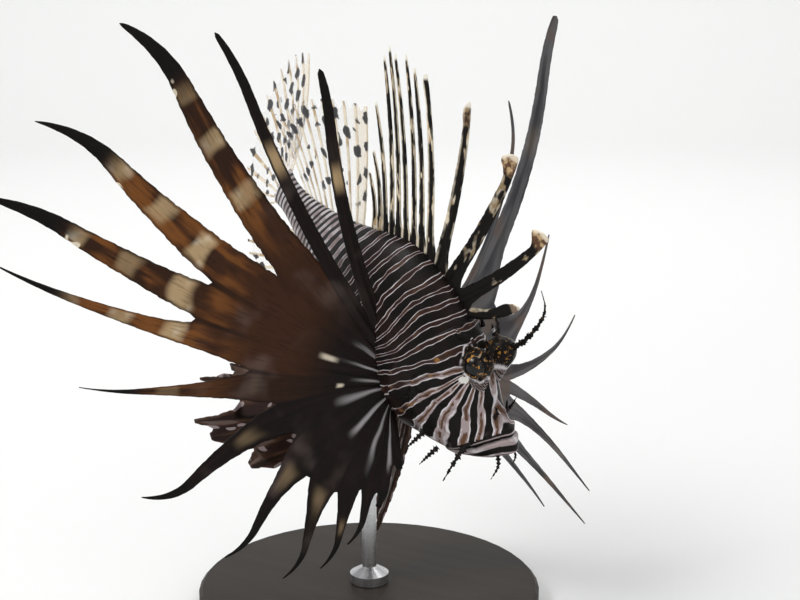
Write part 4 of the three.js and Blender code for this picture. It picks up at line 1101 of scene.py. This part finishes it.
# Camera, floor and light
def camera():
    to_camera = np.array([math.sin(VIEW_AZIMUTH) * math.cos(VIEW_ELEVATION),
                          -math.cos(VIEW_AZIMUTH) * math.cos(VIEW_ELEVATION), math.sin(VIEW_ELEVATION)])
    right = np.array([math.cos(VIEW_AZIMUTH), math.sin(VIEW_AZIMUTH), 0])
    up = np.cross(to_camera, right)
    centre = FISH_ORIGIN - right * SNOUT_RIGHT_OF_CENTRE + up * SNOUT_BELOW_CENTRE
    spot = (centre + to_camera * VIEW_DISTANCE) / 1000
    data = bpy.data.cameras.new("camera")
    data.lens = LENS
    data.sensor_width = SENSOR_WIDTH
    seat = bpy.data.objects.new("camera", data)
    seat.matrix_world = Matrix([*np.column_stack([right, up, to_camera, spot]).tolist(), (0, 0, 0, 1)])
    bpy.context.collection.objects.link(seat)
    bpy.context.scene.camera = seat


def floor():
    """A plain pale floor that curves up into a round wall, with no edge to see from any side."""
    flat, bend, around = FLOOR["flat"], FLOOR["bend"], FLOOR["around"]
    profile = [(FLOOR["inner"], 0.0), (flat, 0.0)]
    for i in range(1, FLOOR["bend_steps"] + 1):
        turn = math.radians(90 * i / FLOOR["bend_steps"])
        profile.append((flat + bend * math.sin(turn), bend * (1 - math.cos(turn))))
    profile.append((flat + bend, FLOOR["wall_top"]))
    turns = [2 * math.pi * j / around for j in range(around)]
    points = [(radius * math.cos(turn), radius * math.sin(turn), height)
              for radius, height in profile for turn in turns]
    faces = [face[::-1] for face in grid_faces(len(profile), around)]
    points.append((0, 0, 0))
    faces += [(len(points) - 1, j, (j + 1) % around) for j in range(around)]
    mesh = bpy.data.meshes.new("floor")
    mesh.from_pydata(points, [], faces)
    mesh.polygons.foreach_set("use_smooth", [True] * len(faces))
    mesh.materials.append(floor_look())
    piece = bpy.data.objects.new("floor", mesh)
    bpy.context.collection.objects.link(piece)


def area_light(name, spot, target, size, energy):
    data = bpy.data.lights.new(name, "AREA")
    data.size = size
    data.energy = energy
    lamp = bpy.data.objects.new(name, data)
    lamp.location = spot
    lamp.rotation_euler = (Vector(target) - Vector(spot)).to_track_quat("-Z", "Y").to_euler()
    bpy.context.collection.objects.link(lamp)


def sky():
    world = bpy.data.worlds.new("studio")
    world.use_nodes = True
    background = world.node_tree.nodes["Background"].inputs
    background["Color"].default_value = (*SKY["colour"], 1)
    background["Strength"].default_value = SKY["strength"]
    bpy.context.scene.world = world


SIDES = (("right", -1), ("left", 1))
skin = skin_look()
clear = clear_look()
dark = dark_fin_look()
tentacle = tentacle_look()
eye = eye_look()
body_skin(skin)
head_spines(skin)
spiny_dorsal(dorsal_look())
soft_dorsal(clear)
anal(clear)
tail(clear)
blades = pectoral_look("pectoral_right_membrane", painted_shade=False)
# The far pectoral fin gets the copy of the same look with painted shade over it
far_blades = pectoral_look("pectoral_left_membrane", painted_shade=True)
pectoral("right", -1, RIGHT_PLANE, RIGHT_RAYS, RIGHT_WEBS, blades)
pectoral("left", 1, LEFT_PLANE, LEFT_RAYS, LEFT_WEBS, far_blades)
for side_name, side in SIDES:
    pelvic(side_name, side, dark)
for side_name, side in SIDES:
    brow_tentacle(side_name, side, tentacle)
flaps(tentacle)
for side_name, side in SIDES:
    eyeball(side_name, side, eye)
for node_name, made in (("stand_base", base_look()), ("stand_rod", rod_look())):
    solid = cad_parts[node_name]
    solid.data.materials.clear()
    solid.data.materials.append(made)

camera()
floor()
for light_name, settings in LIGHTS.items():
    area_light(light_name, *settings)
sky()
bpy.context.scene.view_settings.view_transform = "Standard"
